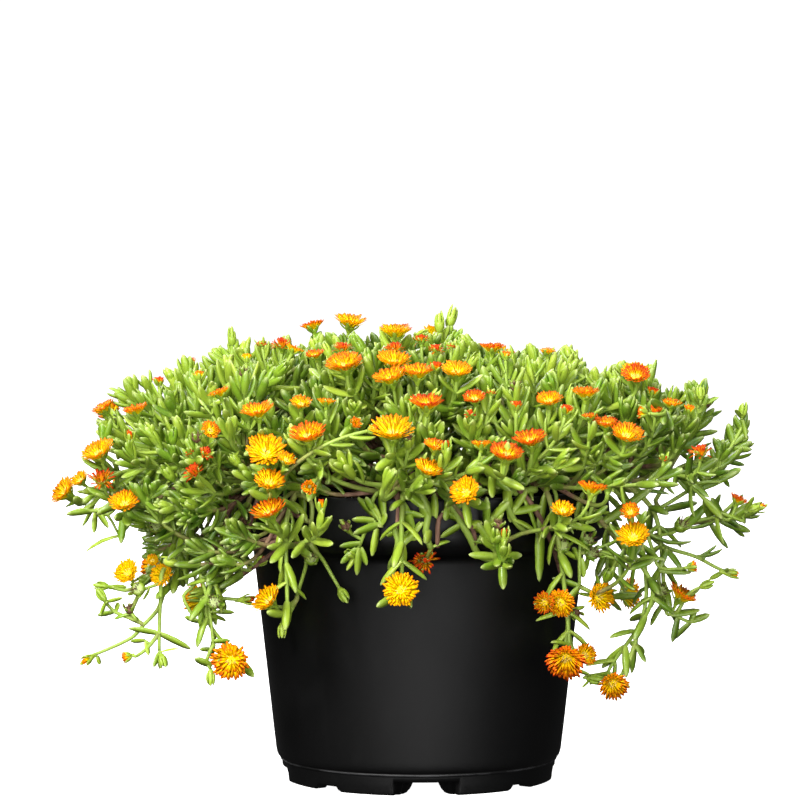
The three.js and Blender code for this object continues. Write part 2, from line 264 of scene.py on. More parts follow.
def leaf_lines(leaves, at):
    """Places and frames at shares `at` along each leaf."""
    bend = leaves["bend"][:, None]
    bend = np.where(np.abs(bend) < 1e-3, 1e-3, bend)
    turn = bend * at[None]
    forward, inward = np.sin(turn) / bend, (1 - np.cos(turn)) / bend
    length = leaves["length"][:, None, None]
    along, inner = leaves["along"][:, None], leaves["inner"][:, None]
    places = leaves["place"][:, None] + length * (forward[..., None] * along + inward[..., None] * inner)
    normal = -np.sin(turn)[..., None] * along + np.cos(turn)[..., None] * inner
    return places, normal


def add_leaves(shape, leaves, look):
    """All leaves of a piece at once, from arrays of their sizes and directions."""
    count = len(leaves["length"])
    if not count:
        return
    rings, sides = len(LEAF_AT), len(LEAF_SECTION)
    places, normal = leaf_lines(leaves, np.append(LEAF_AT, 1.0))
    across = np.cross(leaves["along"], leaves["inner"])[:, None]
    wide = (leaves["width"][:, None] / 2 * LEAF_WIDE)[..., None, None] * LEAF_SECTION[:, 0, None]
    deep = (leaves["width"][:, None] * leaves["plump"][:, None] / 2 * LEAF_DEEP)[..., None, None]
    deep = deep * LEAF_SECTION[:, 1, None]
    body = (places[:, :rings, None] + wide * across[:, :, None] + deep * normal[:, :rings, None])
    points = np.concatenate([body.reshape(count, -1, 3), places[:, rings:]], 1)
    share = np.append(np.repeat(LEAF_AT, sides), 1.0)
    values = np.zeros((count, len(share), 3))
    values[..., 0] = share
    values[..., 1] = leaves["tone"][:, None]
    values[..., 2] = leaves["age"][:, None]
    shape.add(points, values.reshape(-1, 3), *pointed_faces(rings, sides, count), look)


class Leaves:
    """Leaves to come, one row each."""

    def __init__(self):
        self.rows = []

    def add(self, place, along, inner, length, width, bend=0.1, tone=0.5, age=0.3, plump=LEAF_PLUMP):
        self.rows.append((place, along, inner, length, width, bend, tone, age, plump, plant.filling))

    def table(self):
        if not self.rows:
            return {"length": []}
        names = ("place", "along", "inner", "length", "width", "bend", "tone", "age", "plump", "filling")
        return {name: np.array([row[i] for row in self.rows], float) for i, name in enumerate(names)}


# The frame's pot, crown and shoots, as part.mjs has them
POT_HEIGHT = 217
COLLAR_RADIUS = 140.5
CROWN_TOP = 219
SOIL_EDGE, SOIL_CENTRE = 196, 203
POT_OUTSIDE = [(99.5, 0), (101, 9), (104.4, 15.5), (105.6, 21), (122.3, 170), (129, 174.5),
               (136.4, 178.6), (140.5, 187), (140.5, 217)]
POT_INSIDE = [(101.4, 12.2), (103.4, 22), (120.1, 174), (128.3, 177.2), (134.6, 181), (138.3, 188),
              (138.3, 217)]

# Tip (x, y, z), tilt, heading or None for straight out, flower width, and whether it trails
SHOOTS = [
    (230, -61, 208, 26, None, 14, False),
    (188, -64, 138, 34, None, 22, True),
    (155, -87, 299, 38, -90, 19, False),
    (138, -103, 83, 112, -80, 21, True),
    (144, -152, 260, 32, -70, 21, False),
    (104, -137, 106, 118, -100, 27, True),
    (59, -193, 249, 24, -72, 23, False),
    (26, -140, 304, 24, -85, 20, False),
    (-13, -163, 155, 78, -92, 23, True),
    (-19, -187, 263, 25, -90, 30, False),
    (-17, -65, 328, 8, -90, 22, False),
    (-52, -122, 308, 25, -110, 23, False),
    (-77, -182, 261, 25, -112, 25, False),
    (-113, -155, 276, 20, -120, 22, False),
    (-104, -146, 144, 51, -144, 22, True),
    (-134, -102, 99, 92, -98, 26, True),
    (-184, -67, 155, 66, -117, 17, True),
    (-229, -84, 243, 35, -130, 22, False),
    (-257, -19, 211, 56, -150, 22, False),
    (-200, 88, 262, 42, None, 22, False),
    (-166, 118, 118, 90, 130, 23, True),
    (-120, 146, 288, 30, None, 22, False),
    (-56, 196, 262, 40, None, 23, False),
    (0, 176, 128, 84, 95, 24, True),
    (14, 112, 320, 18, None, 21, False),
    (86, 186, 266, 36, None, 25, False),
    (158, 124, 122, 88, 40, 23, True),
    (206, 84, 258, 44, None, 20, False),
]
FLOWER_DEPTH = 0.38
CALYX_LENGTH = 14
# Points that two hanging shoots pass on their way down, by the shoot's place in the list
PAST = {3: (167, -100, 148), 15: (-153, -96, 132)}


def bend_point(share, rise_share, lift, least, reach, angle, start, rise):
    return polar(reach * share, angle, max(start + rise * rise_share + lift, least))


def shoot_route(index):
    x, y, z, tilt, heading, _, trails = SHOOTS[index]
    first = math.atan2(SHOOTS[0][1], SHOOTS[0][0])
    own = math.atan2(y, x)
    turn = (first - own + 4 * math.pi) % (2 * math.pi)
    outward = first - turn
    around = first - (turn + index / len(SHOOTS) * 2 * math.pi) / 2
    between = outward + (around - outward) * 0.25
    high = index % 2 == 1
    start = polar(6 if high else 12, around, CROWN_TOP - 7 if high else SOIL_CENTRE + 5)
    leave = polar(26 if high else 32, around, CROWN_TOP + 3 if high else SOIL_CENTRE + 8)
    tip = np.array([x, y, z], float)
    axis = leaning(tilt, math.degrees(own) if heading is None else heading)
    under = tip - axis * CALYX_LENGTH
    reach = math.hypot(x, y)
    if trails:
        points = [start, leave, polar(86, between, POT_HEIGHT + 4),
                  polar(COLLAR_RADIUS + 4, outward, POT_HEIGHT + 7),
                  polar(max(COLLAR_RADIUS + 17, reach * 0.9), outward, POT_HEIGHT - 14)]
        points += [np.array(PAST[index], float)] if index in PAST else []
        points += [under, tip]
    else:
        rise = z - leave[2]
        points = [start, leave,
                  bend_point(0.42, 0.24, 4, POT_HEIGHT + 9, reach, between, leave[2], rise),
                  bend_point(0.8, 0.66, 2, POT_HEIGHT + 12, reach, outward, leave[2], rise),
                  under, tip]
    return catmull(points), axis


def pot_radius(z, profile, extra=0.0):
    radii, heights = np.array(profile, float).T
    return np.interp(z, heights, radii) + extra


def blocked(points, margin=2.0):
    """Which points are in the pot's wall, in the soil or under the floor."""
    points = np.asarray(points, float)
    x, y, z = points[..., 0], points[..., 1], points[..., 2]
    radius = np.hypot(x, y)
    wall = ((z < POT_HEIGHT + margin * 0.7)
            & (radius < pot_radius(z, POT_OUTSIDE, margin))
            & (radius > pot_radius(z, POT_INSIDE, -margin)))
    soil = (radius <= COLLAR_RADIUS - 2) & (z < SOIL_EDGE + 3) & ~wall
    return wall | soil


def outside_pot(line, gap):
    """A line moved clear of the pot's outside, which it hangs in front of."""
    line = np.array(line, float)
    radius = np.hypot(line[:, 0], line[:, 1])
    least = pot_radius(line[:, 2], POT_OUTSIDE, gap)
    near = (line[:, 2] < POT_HEIGHT + 6) & (radius < least) & (radius > 60)
    line[near, :2] *= (least[near] / radius[near])[:, None]
    return line


# The cushion's outer surface
CUSHION_CENTRE_Z = 200
CUSHION_HEIGHT = 140


def half_width(angle):
    """How far the cushion spreads at its widest, in each direction."""
    across = np.where(np.cos(angle) < 0, 258.0, 243.0)
    deep = np.where(np.sin(angle) < 0, 208.0, 216.0)
    return 1 / np.sqrt((np.cos(angle) / across) ** 2 + (np.sin(angle) / deep) ** 2)


def depth_inside(point):
    """Below 0 inside the cushion, above 0 outside."""
    spread = math.hypot(point[0], point[1]) / half_width(math.atan2(point[1], point[0]))
    height = max(point[2] - CUSHION_CENTRE_Z, 0) / CUSHION_HEIGHT
    return float(spread ** 1.7 + height ** 2.6 - 1)


def on_cushion(x, z, lift=0.0):
    """Where the line of sight through (x, z) meets the front of the cushion, or comes nearest."""
    best, best_value = None, 9.0
    for y in np.arange(-250.0, 41.0, 2.0):
        value = depth_inside(seen(x, z, y))
        if value < 0:
            return seen(x, z, y - lift)
        if value < best_value - 1e-4:
            best, best_value = y, value
    return seen(x, z, max(best, -150))


# The outline of the plant's full part, seen from the front: x and z on the pot's middle plane
FULL_PART = np.array([
    (-238, 262), (-226, 298), (-203, 302), (-172, 313), (-152, 318), (-135, 324), (-116, 322), (-93, 324),
    (-71, 331), (-52, 332), (-29, 331), (-6, 330), (16, 334), (32, 331), (47, 321), (75, 317), (93, 321),
    (109, 320), (126, 308), (148, 309), (172, 309), (181, 295), (202, 293), (214, 286), (208, 264),
    (194, 244), (178, 226), (158, 216), (134, 217), (104, 214), (75, 214), (45, 212), (16, 211), (-6, 214),
    (-29, 222), (-58, 219), (-83, 215), (-101, 203), (-118, 198), (-116, 181), (-129, 162), (-143, 138),
    (-165, 131), (-191, 134), (-208, 142), (-206, 172), (-224, 189), (-230, 208), (-218, 223), (-212, 238),
    (-228, 247)], float)


def as_seen(points):
    """Where the points appear on the pot's middle plane, as (x, z)."""
    points = np.asarray(points, float)
    share = -CAMERA[1] / (points[..., 1] - CAMERA[1])
    return np.stack([CAMERA[0] + (points[..., 0] - CAMERA[0]) * share,
                     CAMERA[2] + (points[..., 2] - CAMERA[2]) * share], -1)


def in_full_part(points):
    """Which points appear inside the full part's outline."""
    x, z = np.moveaxis(as_seen(points), -1, 0)
    inside = np.zeros(x.shape, bool)
    for (x0, z0), (x1, z1) in zip(FULL_PART, np.roll(FULL_PART, -1, 0)):
        if z0 != z1:
            inside ^= ((z0 > z) != (z1 > z)) & (x < x0 + (z - z0) * (x1 - x0) / (z1 - z0))
    return inside


def outward_from_cushion(point):
    step = 2.0
    slope = [depth_inside(point + step * axis) - depth_inside(point - step * axis) for axis in np.eye(3)]
    return unit(np.array(slope) + 1e-9)


# The plant
class Plant:
    """The stems and leaves that have grown so far, with the shoot that each belongs to.

    `filling` says that what grows now only fills the cushion, and so keeps to its outline.
    """

    def __init__(self):
        self.filling = False
        self.shapes = [Shape() for _ in SHOOTS]
        self.leaves = [Leaves() for _ in SHOOTS]
        self.routes, self.axes = zip(*[shoot_route(i) for i in range(len(SHOOTS))])
        self.stem_points, self.stem_ahead, self.stem_owner = [], [], []
        for i, route in enumerate(self.routes):
            self.remember(route[6:-3], i)

    def remember(self, line, owner):
        if len(line) < 2:
            return
        self.stem_points.append(line)
        self.stem_ahead.append(unit(np.gradient(line, axis=0)))
        self.stem_owner.append(np.full(len(line), owner))

    def stems(self):
        return (np.concatenate(self.stem_points), np.concatenate(self.stem_ahead),
                np.concatenate(self.stem_owner))


LEAF, STEM = 0, 1
plant = Plant()


def leaf_pair(leaves, place, along, spin, spread, length, width, age, tone, bend=0.25, wild=0.12):
    """Opposite leaves on a stem, `spread` degrees from it, the first at `spin` round it."""
    side = turned(square_to(along), along, spin)
    for turn in (0, math.pi):
        across = turned(side, along, turn)
        angle = math.radians(spread + rng.normal(0, 6))
        direction = math.cos(angle) * along + math.sin(angle) * across
        direction = unit(direction + rng.normal(0, wild, 3))
        inner = math.sin(angle) * along - math.cos(angle) * across
        inner = unit(inner - direction * float(inner @ direction))
        stretch = rng.uniform(0.86, 1.1)
        leaves.add(place + direction * 0.6, direction, inner, length * stretch,
                   width * rng.uniform(0.9, 1.08), bend + rng.normal(0, 0.12),
                   np.clip(tone + rng.normal(0, 0.16), 0, 1), np.clip(age + rng.normal(0, 0.06), 0, 1))


# Leaf pairs from a shoot's tip down: gap, length, width, spread in degrees, and bend
TIP_STEPS = [
    (0.0, 9, 5.2, 8, 0.1), (2.4, 15, 6.3, 16, 0.3), (4.6, 19.5, 6.9, 26, 0.4), (6.8, 22.5, 7.0, 37, 0.35),
    (9.5, 24, 6.8, 48, 0.25), (12.5, 24, 6.4, 58, 0.15), (14.5, 23, 6, 66, 0.0), (16.0, 22, 5.8, 72, -0.15),
]


def finger_tip(leaves, line, scale, age, tone, pairs, end_gap=0.0):
    """Leaf pairs along the end of a shoot, closed at its tip and opening further down."""
    reach = lengths(line)[-1]
    back = end_gap
    spin = rng.uniform(0, math.pi)
    for i, (gap, length, width, spread, bend) in enumerate(TIP_STEPS[:pairs]):
        back += gap * scale
        if back > reach - 4:
            break
        if end_gap and i == 0:
            continue
        place, ahead = sample(line, reach - back)
        leaf_pair(leaves, place, ahead, spin, spread + rng.normal(0, 5),
                  length * scale * rng.uniform(0.88, 1.12), width * scale ** 0.5,
                  age + 0.09 * i, tone, bend, 0.14)
        spin += math.pi / 2 + rng.normal(0, 0.25)


SEPALS = 5
BUD_OUTLINE = [(0.14, 0.0), (0.24, 0.10), (0.35, 0.32), (0.38, 0.54), (0.30, 0.76), (0.14, 0.92)]
BUD_TALL = 1.15
# Sepals of a bud at a leafy tip, and of one in a flower's place: lean, how far out their feet
# are, least and greatest length, width, and bend
TIP_SEPALS = (0.16, 0.26, 0.9, 1.35, 0.34, 0.4)
BLOOM_SEPALS = (0.2, 0.3, 0.85, 1.2, 0.42, 0.5)


def green_bud(shape, leaves, place, axis, size, tone, look, sepals):
    """A flower bud: a swollen green cup closed by pointed fleshy sepals."""
    lean, foot, least, most, width, bend = sepals
    outline = [(r * size, z * size * BUD_TALL) for r, z in BUD_OUTLINE]
    add_turned(shape, place, axis, outline, 9, look, tone, 0.15)
    side = square_to(axis)
    for i in range(SEPALS):
        across = turned(side, axis, i * 2 * math.pi / SEPALS + rng.normal(0, 0.1))
        direction = unit(axis + across * lean)
        inner = unit(axis * lean - across)
        leaves.add(place + axis * size * 0.35 + across * size * foot, direction,
                   unit(inner - direction * float(inner @ direction)), size * rng.uniform(least, most),
                   size * width, bend, tone, 0.1, 0.6)


def add_turned(shape, place, axis, outline, sides, look, tone, age, shares=None):
    """A closed body turned round `axis`, from an outline of (radius, height) points."""
    side = square_to(axis)
    other = np.cross(axis, side)
    angle = np.arange(sides) / sides * 2 * math.pi
    outline = np.array(outline, float)
    around = np.cos(angle)[:, None] * side + np.sin(angle)[:, None] * other
    rings = place + outline[:, 0, None, None] * around[None] + outline[:, 1, None, None] * axis
    points = np.concatenate([rings.reshape(-1, 3), [place + axis * outline[0, 1]],
                             [place + axis * outline[-1, 1]]])
    shares = np.linspace(0, 1, len(outline)) if shares is None else np.asarray(shares, float)
    data = np.zeros((len(points), 3))
    data[:-2, 0] = np.repeat(shares, sides)
    data[-2:, 0] = shares[[0, -1]]
    data[:, 1:] = tone, age
    count = len(outline)
    shape.add(points, data, ring_quads(count, sides), end_faces(count, sides), look)


# Flowers
PETAL, GREEN, STAMEN, DRY = 0, 1, 2, 3
PETAL_SHARE = 0.106
PETAL_AT = np.array([0.0, 0.5, 0.9])
PETAL_WIDE = np.array([0.55, 0.95, 0.80])
PETAL_SECTION = np.array([[-1.0, 0.10], [1.0, 0.10], [0.0, -0.22]])


def add_petals(shape, place, axis, ring_radius, count, length, width, lean, curl, tone, age, wild):
    """One ring of narrow petals. `lean` is their angle from the axis, and `curl` bends them out."""
    rings, sides = len(PETAL_AT), len(PETAL_SECTION)
    side = square_to(axis)
    other = np.cross(axis, side)
    turn = (np.arange(count) + rng.uniform(0, 1) + rng.normal(0, 0.22, count)) * 2 * math.pi / count
    out = np.cos(turn)[:, None] * side + np.sin(turn)[:, None] * other
    lean = math.radians(lean) + rng.normal(0, wild, count)
    along = np.cos(lean)[:, None] * axis + np.sin(lean)[:, None] * out
    inner = np.sin(lean)[:, None] * axis - np.cos(lean)[:, None] * out
    across = np.cross(along, inner)
    long = length * rng.uniform(0.86, 1.08, count)
    petals = {"place": place + out * ring_radius, "along": along, "inner": inner, "length": long,
              "bend": -curl + rng.normal(0, wild * 1.2, count)}
    places, normal = leaf_lines(petals, np.append(PETAL_AT, 1.0))
    half = width / 2 * PETAL_WIDE[None, :, None, None]
    body = (places[:, :rings, None] + half * (PETAL_SECTION[:, 0, None] * across[:, None, None]
                                              + PETAL_SECTION[:, 1, None] * normal[:, :rings, None]))
    points = np.concatenate([body.reshape(count, -1, 3), places[:, rings:]], 1)
    values = np.zeros((count, rings * sides + 1, 3))
    values[..., 0] = np.append(np.repeat(PETAL_AT, sides), 1.0)
    values[..., 1] = np.clip(tone + rng.normal(0, 0.08, count), 0, 1)[:, None]
    values[..., 2] = age
    shape.add(points, values.reshape(-1, 3), *pointed_faces(rings, sides, count), PETAL)


def add_spikes(shape, place, axis, radius, count, length, thick, lean, look, tone, age):
    """A tuft of thin spikes, such as stamens or the dried threads of an old flower."""
    side = square_to(axis)
    other = np.cross(axis, side)
    for _ in range(count):
        turn, out = rng.uniform(0, 2 * math.pi), math.sqrt(rng.uniform(0, 1))
        away = math.cos(turn) * side + math.sin(turn) * other
        direction = unit(axis + away * math.tan(math.radians(lean)) * (out + 0.2) + rng.normal(0, 0.12, 3))
        foot = place + away * radius * out
        across = square_to(direction, away + 0.01 * UP)
        corners = [foot + thick * turned(across, direction, k * 2 * math.pi / 3) for k in range(3)]
        points = [*corners, foot + direction * length * rng.uniform(0.75, 1.15)]
        values = [(0, tone, age)] * 3 + [(1, tone, age)]
        shape.add(points, values, [], [[0, 1, 3], [1, 2, 3], [2, 0, 3], [0, 2, 1]], look)


def add_cup(shape, place, axis, radius, low, high, tone):
    """The green cup under the petals, which widens from the stem."""
    tall = high - low
    outline = [(1.2, low), (1.5, low + 0.16 * tall), (radius * 0.62, low + 0.42 * tall),
               (radius * 0.92, low + 0.72 * tall), (radius, low + 0.92 * tall), (radius * 0.8, high)]
    add_turned(shape, place, axis, outline, 9, GREEN, tone, 0.15)


def add_seed_head(shape, leaves, place, axis, size, look, tone, age):
    """What is left after flowering: a swollen capsule with dried threads on it."""
    outline = [(0.3, 0), (0.62, 0.28), (0.95, 0.75), (1.0, 1.15), (0.82, 1.45), (0.5, 1.5)]
    add_turned(shape, place, axis, [(r * size, z * size) for r, z in outline], 10, look, tone, age)
    add_spikes(shape, place + axis * size * 1.4, axis, size * 0.7, 26, size * 1.1, 0.35, 38, DRY, tone, 0.6)
    add_sepals(leaves, place + axis * size * 1.0, axis, size * 0.85, size * 1.2, 30, tone, 0.7)


def add_bloom(shape, leaves, place, axis, width, warmth, state, tone):
    """A flower with its petals: open, closing or old."""
    cup = min(3.8, width * 0.17)
    add_cup(shape, place, axis, cup, -0.26 * width, 0.05 * width, tone)
    rim = place + axis * 0.03 * width
    reach, rise = width / 2 - cup * 0.8, width * FLOWER_DEPTH - 0.03 * width
    length, lean = math.hypot(reach, rise), math.degrees(math.atan2(reach, rise))
    if state == "open":
        full = 34 if width > 15 else 26
        heart = [(cup * 0.95, 0), (cup * 0.9, 0.045 * width), (cup * 0.5, 0.075 * width)]
        add_turned(shape, rim, axis, heart, 9, PETAL, 0.0, 0.2, [0, 0, 0])
        rings = [(0.86, full, 1.02, 3, 0.10, 1.0), (0.70, int(full * 0.9), 0.97, -3, 0.12, 0.94),
                 (0.50, int(full * 0.6), 0.74, -9, 0.12, 0.78)]
        for ring, count, share, turn, curl, heat in rings:
            add_petals(shape, rim, axis, cup * ring, count, length * share, width * PETAL_SHARE,
                       lean + turn, curl, warmth * heat, 0.2, 0.05)
        add_spikes(shape, rim + axis * rise * 0.1, axis, cup * 0.7, 30, rise * 0.5, 0.36, 24, STAMEN, 0.5, 0)
        add_spikes(shape, rim + axis * rise * 0.2, axis, 0.3, 2, rise * 0.5, 0.3, 10, STAMEN, 1.0, 1)
        sepal_lean = lean + 2
    elif state == "closed":
        for ring, count, wide, share, curl, wild in ((0.8, 22, 1.7, 0.7, -0.1, 0.09),
                                                     (0.5, 14, 1.6, 0.4, 0.0, 0.10)):
            add_petals(shape, rim, axis, cup * ring, count, max(length, 6), wide, lean * share, curl,
                       warmth, 0.4, wild)
        sepal_lean = lean * 0.75
    else:
        add_petals(shape, rim, axis, cup * 0.8, 26, length * 1.05, 2.0, lean - 6, 0.5, 0.95, 0.9, 0.35)
        add_petals(shape, rim, axis, cup * 0.6, 18, length, 1.8, lean - 30, -0.4, 0.9, 0.85, 0.4)
        add_spikes(shape, rim, axis, cup * 0.5, 14, length * 0.6, 0.25, 30, DRY, 0.4, 0.4)
        sepal_lean = lean - 8
    add_sepals(leaves, place - axis * 0.05 * width, axis, cup * 0.75, max(6.5, length * 0.75),
               sepal_lean, tone)


def add_flower(shape, place, axis, width, warmth, state, tone):
    """A flower whose foot is at `place`. `warmth` goes from yellow, 0, to deep red, 1."""
    leaves = Leaves()
    if state == "green":
        green_bud(shape, leaves, place, axis, max(width, 8), tone, GREEN, BLOOM_SEPALS)
    elif state == "bud":
        add_cup(shape, place, axis, 3.0, -3.5, 5.0, tone)
        add_petals(shape, place + axis * 4.5, axis, 1.5, 12, 6.5, 1.5, 8, -0.2, warmth, 0.4, 0.06)
        add_sepals(leaves, place + axis * 3.4, axis, 2.5, 8, 14, tone)
    elif state == "capsule":
        add_seed_head(shape, leaves, place, axis, 5.4, GREEN, tone, 0.75)
    elif state == "dry":
        add_seed_head(shape, leaves, place, axis, 3.6, DRY, tone, 0.5)
    else:
        add_bloom(shape, leaves, place, axis, width, warmth, state, tone)
    add_leaves(shape, leaves.table(), GREEN)


def add_sepals(leaves, place, axis, radius, length, lean, tone, age=0.2):
    """The fleshy sepals round a flower's cup, longer and shorter by turns."""
    side = square_to(axis)
    start = rng.uniform(0, 2)
    for i in range(SEPALS):
        out = turned(side, axis, start + i * 2 * math.pi / SEPALS)
        angle = math.radians(lean + rng.normal(0, 7))
        direction = math.cos(angle) * axis + math.sin(angle) * out
        inner = math.sin(angle) * axis - math.cos(angle) * out
        leaves.add(place + out * radius, direction, inner, length * (1.15 if i % 2 else 0.8), 3.1,
                   0.25, tone, age, 0.7)


# Growth
def twig_line(foot, ahead, tip, direction, count=11):
    gap = np.linalg.norm(tip - foot)
    leave = unit(ahead * 0.55 + unit(tip - foot) * 0.6)
    return bezier(foot, foot + leave * gap * 0.34, tip - direction * gap * 0.42, tip, count)


LOW_STEM = 175
# How much a stem's faults count, in mm, when it is chosen as the foot of a twig
NOT_FACING, NOT_ONWARD, TOO_LOW = 45, 25, 150


def find_twig(tip, direction, reach):
    """A line from the best-placed stem to a tip, and the shoot that it grows on."""
    points, ahead, owner = plant.stems()
    away = tip - points
    distance = np.linalg.norm(away, axis=1) + 1e-6
    cosine = away @ direction / distance
    onward = np.einsum("ij,ij->i", away, ahead) / distance
    sunk = (points[:, 2] < POT_HEIGHT + 5) & (tip[2] > POT_HEIGHT + 12)
    sunk |= (points[:, 2] < LOW_STEM) & (points[:, 2] < tip[2] - 42)
    misfit = np.abs(distance - reach) + NOT_FACING * (1 - cosine) + NOT_ONWARD * (1 - onward)
    misfit += TOO_LOW * sunk
    fallback = None
    for k in np.argsort(misfit)[:40:3]:
        line = twig_line(points[k], ahead[k], tip, direction)
        if fallback is None:
            fallback = line, owner[k]
        if not blocked(line[2:], 1.5).any():
            return line, owner[k]
    line, k = fallback
    return outside_pot(line, 3.0), k


def grow_twig(tip, direction, reach, radius, end_radius, age, tone, pairs, end_gap=0.0, scale=1.0):
    line, owner = find_twig(tip, direction, reach)
    radii = np.linspace(radius, end_radius, len(line))
    add_tube(plant.shapes[owner], line, radii, (tone, min(age + 0.38, 1), age * 0.4), STEM, sides=6)
    finger_tip(plant.leaves[owner], line, scale, age, tone, pairs, end_gap)
    plant.remember(line[4:-2], owner)
    return line, owner


def grow_main_stems():
    for i, route in enumerate(plant.routes):
        radii = np.interp(np.linspace(0, 1, len(route)), [0, 0.25, 0.7, 1], [2.7, 2.3, 1.8, 1.2])
        add_tube(plant.shapes[i], route, radii, (rng.uniform(0.3, 0.7), 1.1, 0.0), STEM, sides=9)
        reach = lengths(route)[-1]
        tone, spin, back = rng.uniform(0.3, 0.7), rng.uniform(0, 3), 13.0
        step = 11.0
        while back < reach * (0.62 if SHOOTS[i][6] else 0.5):
            place, ahead = sample(route, reach - back)
            share = back / reach
            leaf_pair(plant.leaves[i], place, ahead, spin, 44 + 32 * share, 22 + 4 * share, 6.7,
                      0.15 + 0.5 * share, tone, 0.35, 0.2)
            spin += math.pi / 2 + rng.normal(0, 0.2)
            back += step
            step = 13 + 8 * share


# Flowers read off the photograph, apart from those that the frame has: x and z on the pot's
# middle plane, width, tilt, heading, warmth from yellow to deep red, and state. Each sits where its
# line of sight meets the cushion.
BLOOMS = [
    (-234, 276, 16, 30, 200, 0.55, "open"), (-210, 275, 17, 16, 200, 0.6, "open"),
    (-192, 294, 9, 5, 180, 0.9, "closed"), (-148, 287, 14, 20, 200, 0.55, "open"),
    (-162, 297, 6, 10, 90, 0.5, "closed"), (-153, 258, 13, 60, -60, 0.6, "open"),
    (-213, 249, 8, 20, -90, 0.95, "bud"), (-238, 244, 22, 35, -130, 0.3, "open"),
    (-235, 224, 17, 32, -100, 1, "old"), (-252, 222, 14, 45, -140, 0.35, "open"),
    (-218, 206, 19, 38, -95, 0.35, "open"), (-156, 241, 10, 50, -40, 1, "old"),
    (-167, 228, 14, 40, -120, 1, "old"), (-170, 241, 6, 30, -150, 1, "old"),
    (-113, 244, 26, 48, -90, 0.2, "open"), (-110, 222, 21, 34, -80, 0.25, "open"),
    (-97, 237, 13, 38, -60, 0.35, "open"), (-112, 201, 23, 30, -130, 0.65, "open"),
    (-101, 323, 14, 8, -90, 1, "old"), (-116, 322, 7, 10, 180, 1, "old"),
    (-127, 310, 7, 10, 90, 0.3, "closed"), (-129, 299, 9, 5, -90, 1, "dry"),
    (-164, 251, 9, 20, -90, 1, "dry"), (-79, 337, 16, 15, 160, 0.7, "open"),
    (-50, 341, 21, 14, -60, 0.3, "open"), (-17, 334, 21, 8, -90, 0.65, "open"),
    (-91, 319, 13, 26, 20, 0.5, "open"), (-77, 315, 13, 20, -120, 0.75, "open"),
    (-56, 320, 13, 5, -90, 1, "old"), (-55, 309, 24, 25, -110, 0.4, "open"),
    (-18, 320, 13, 5, -90, 1, "old"), (-18, 312, 22, 22, -80, 0.35, "open"),
    (-22, 300, 22, 22, -130, 0.45, "open"), (-1, 304, 22, 12, -90, 0.5, "open"),
    (28, 304, 20, 24, -85, 0.15, "open"), (13, 305, 10, 12, -60, 0.85, "closed"),
    (2, 326, 11, 5, 90, 1, "old"), (13, 319, 10, 8, -70, 1, "old"), (24, 320, 6, 5, 90, 1, "old"),
    (54, 321, 16, 4, -90, 0.75, "open"), (64, 312, 7, 8, 90, 0.7, "closed"),
    (-87, 279, 14, 30, -90, 0.45, "open"), (-68, 280, 12, 6, -60, 0.45, "open"),
    (6, 281, 22, 14, -90, 0.85, "open"), (41, 283, 15, 30, -100, 0.9, "open"),
    (54, 286, 7, 10, 0, 1, "old"), (38, 270, 7, 30, -90, 1, "old"), (71, 289, 9, 10, -90, 1, "dry"),
    (72, 276, 9, 5, -80, 0.9, "closed"), (-47, 262, 9, 60, -60, 0.6, "closed"),
    (-33, 257, 9, 80, 0, 0.8, "closed"), (-8, 252, 9, 40, -90, 1, "dry"),
    (13, 248, 16, 22, -60, 0.6, "open"), (8, 231, 19, 32, -55, 0.35, "open"),
    (20, 240, 6, 15, -80, 1, "bud"), (33, 213, 20, 58, -115, 0.3, "open"),
    (46, 249, 13, 5, -90, 0.55, "open"), (-81, 215, 13, 86, -95, 0.7, "closed"),
    (-72, 197, 6, 8, -90, 0.8, "bud"), (63, 175, 6, 10, -80, 1, "bud"), (59, 187, 9, 30, -60, 1, "dry"),
    (82, 254, 22, 20, -110, 0.85, "open"), (95, 317, 11, 8, -90, 0.45, "open"),
    (96, 282, 17, 26, -100, 0.5, "open"), (123, 288, 18, 8, -90, 0.6, "open"),
    (109, 273, 10, 16, -60, 0.9, "closed"), (126, 269, 10, 10, -100, 0.8, "open"),
    (138, 265, 16, 14, -90, 0.75, "open"), (155, 257, 21, 34, -70, 0.4, "open"),
    (160, 301, 19, 38, -90, 0.1, "open"), (173, 287, 11, 15, 0, 0.9, "closed"),
    (164, 270, 10, 80, 180, 0.6, "closed"), (175, 272, 9, 30, -90, 0.8, "closed"),
    (187, 279, 13, 14, -60, 0.55, "open"), (200, 273, 9, 12, -30, 0.5, "closed"),
    (212, 276, 7, 20, 0, 1, "dry"), (208, 244, 15, 16, -100, 1, "old"), (181, 237, 6, 10, -90, 1, "old"),
    (129, 218, 20, 10, -10, 0.6, "open"), (107, 200, 16, 36, -80, 0.25, "open"),
    (249, 198, 7, 62, -20, 0.5, "bud"), (158, 181, 21, 46, -100, 0.2, "open"),
    (156, 198, 13, 50, -100, 0.7, "open"),
]

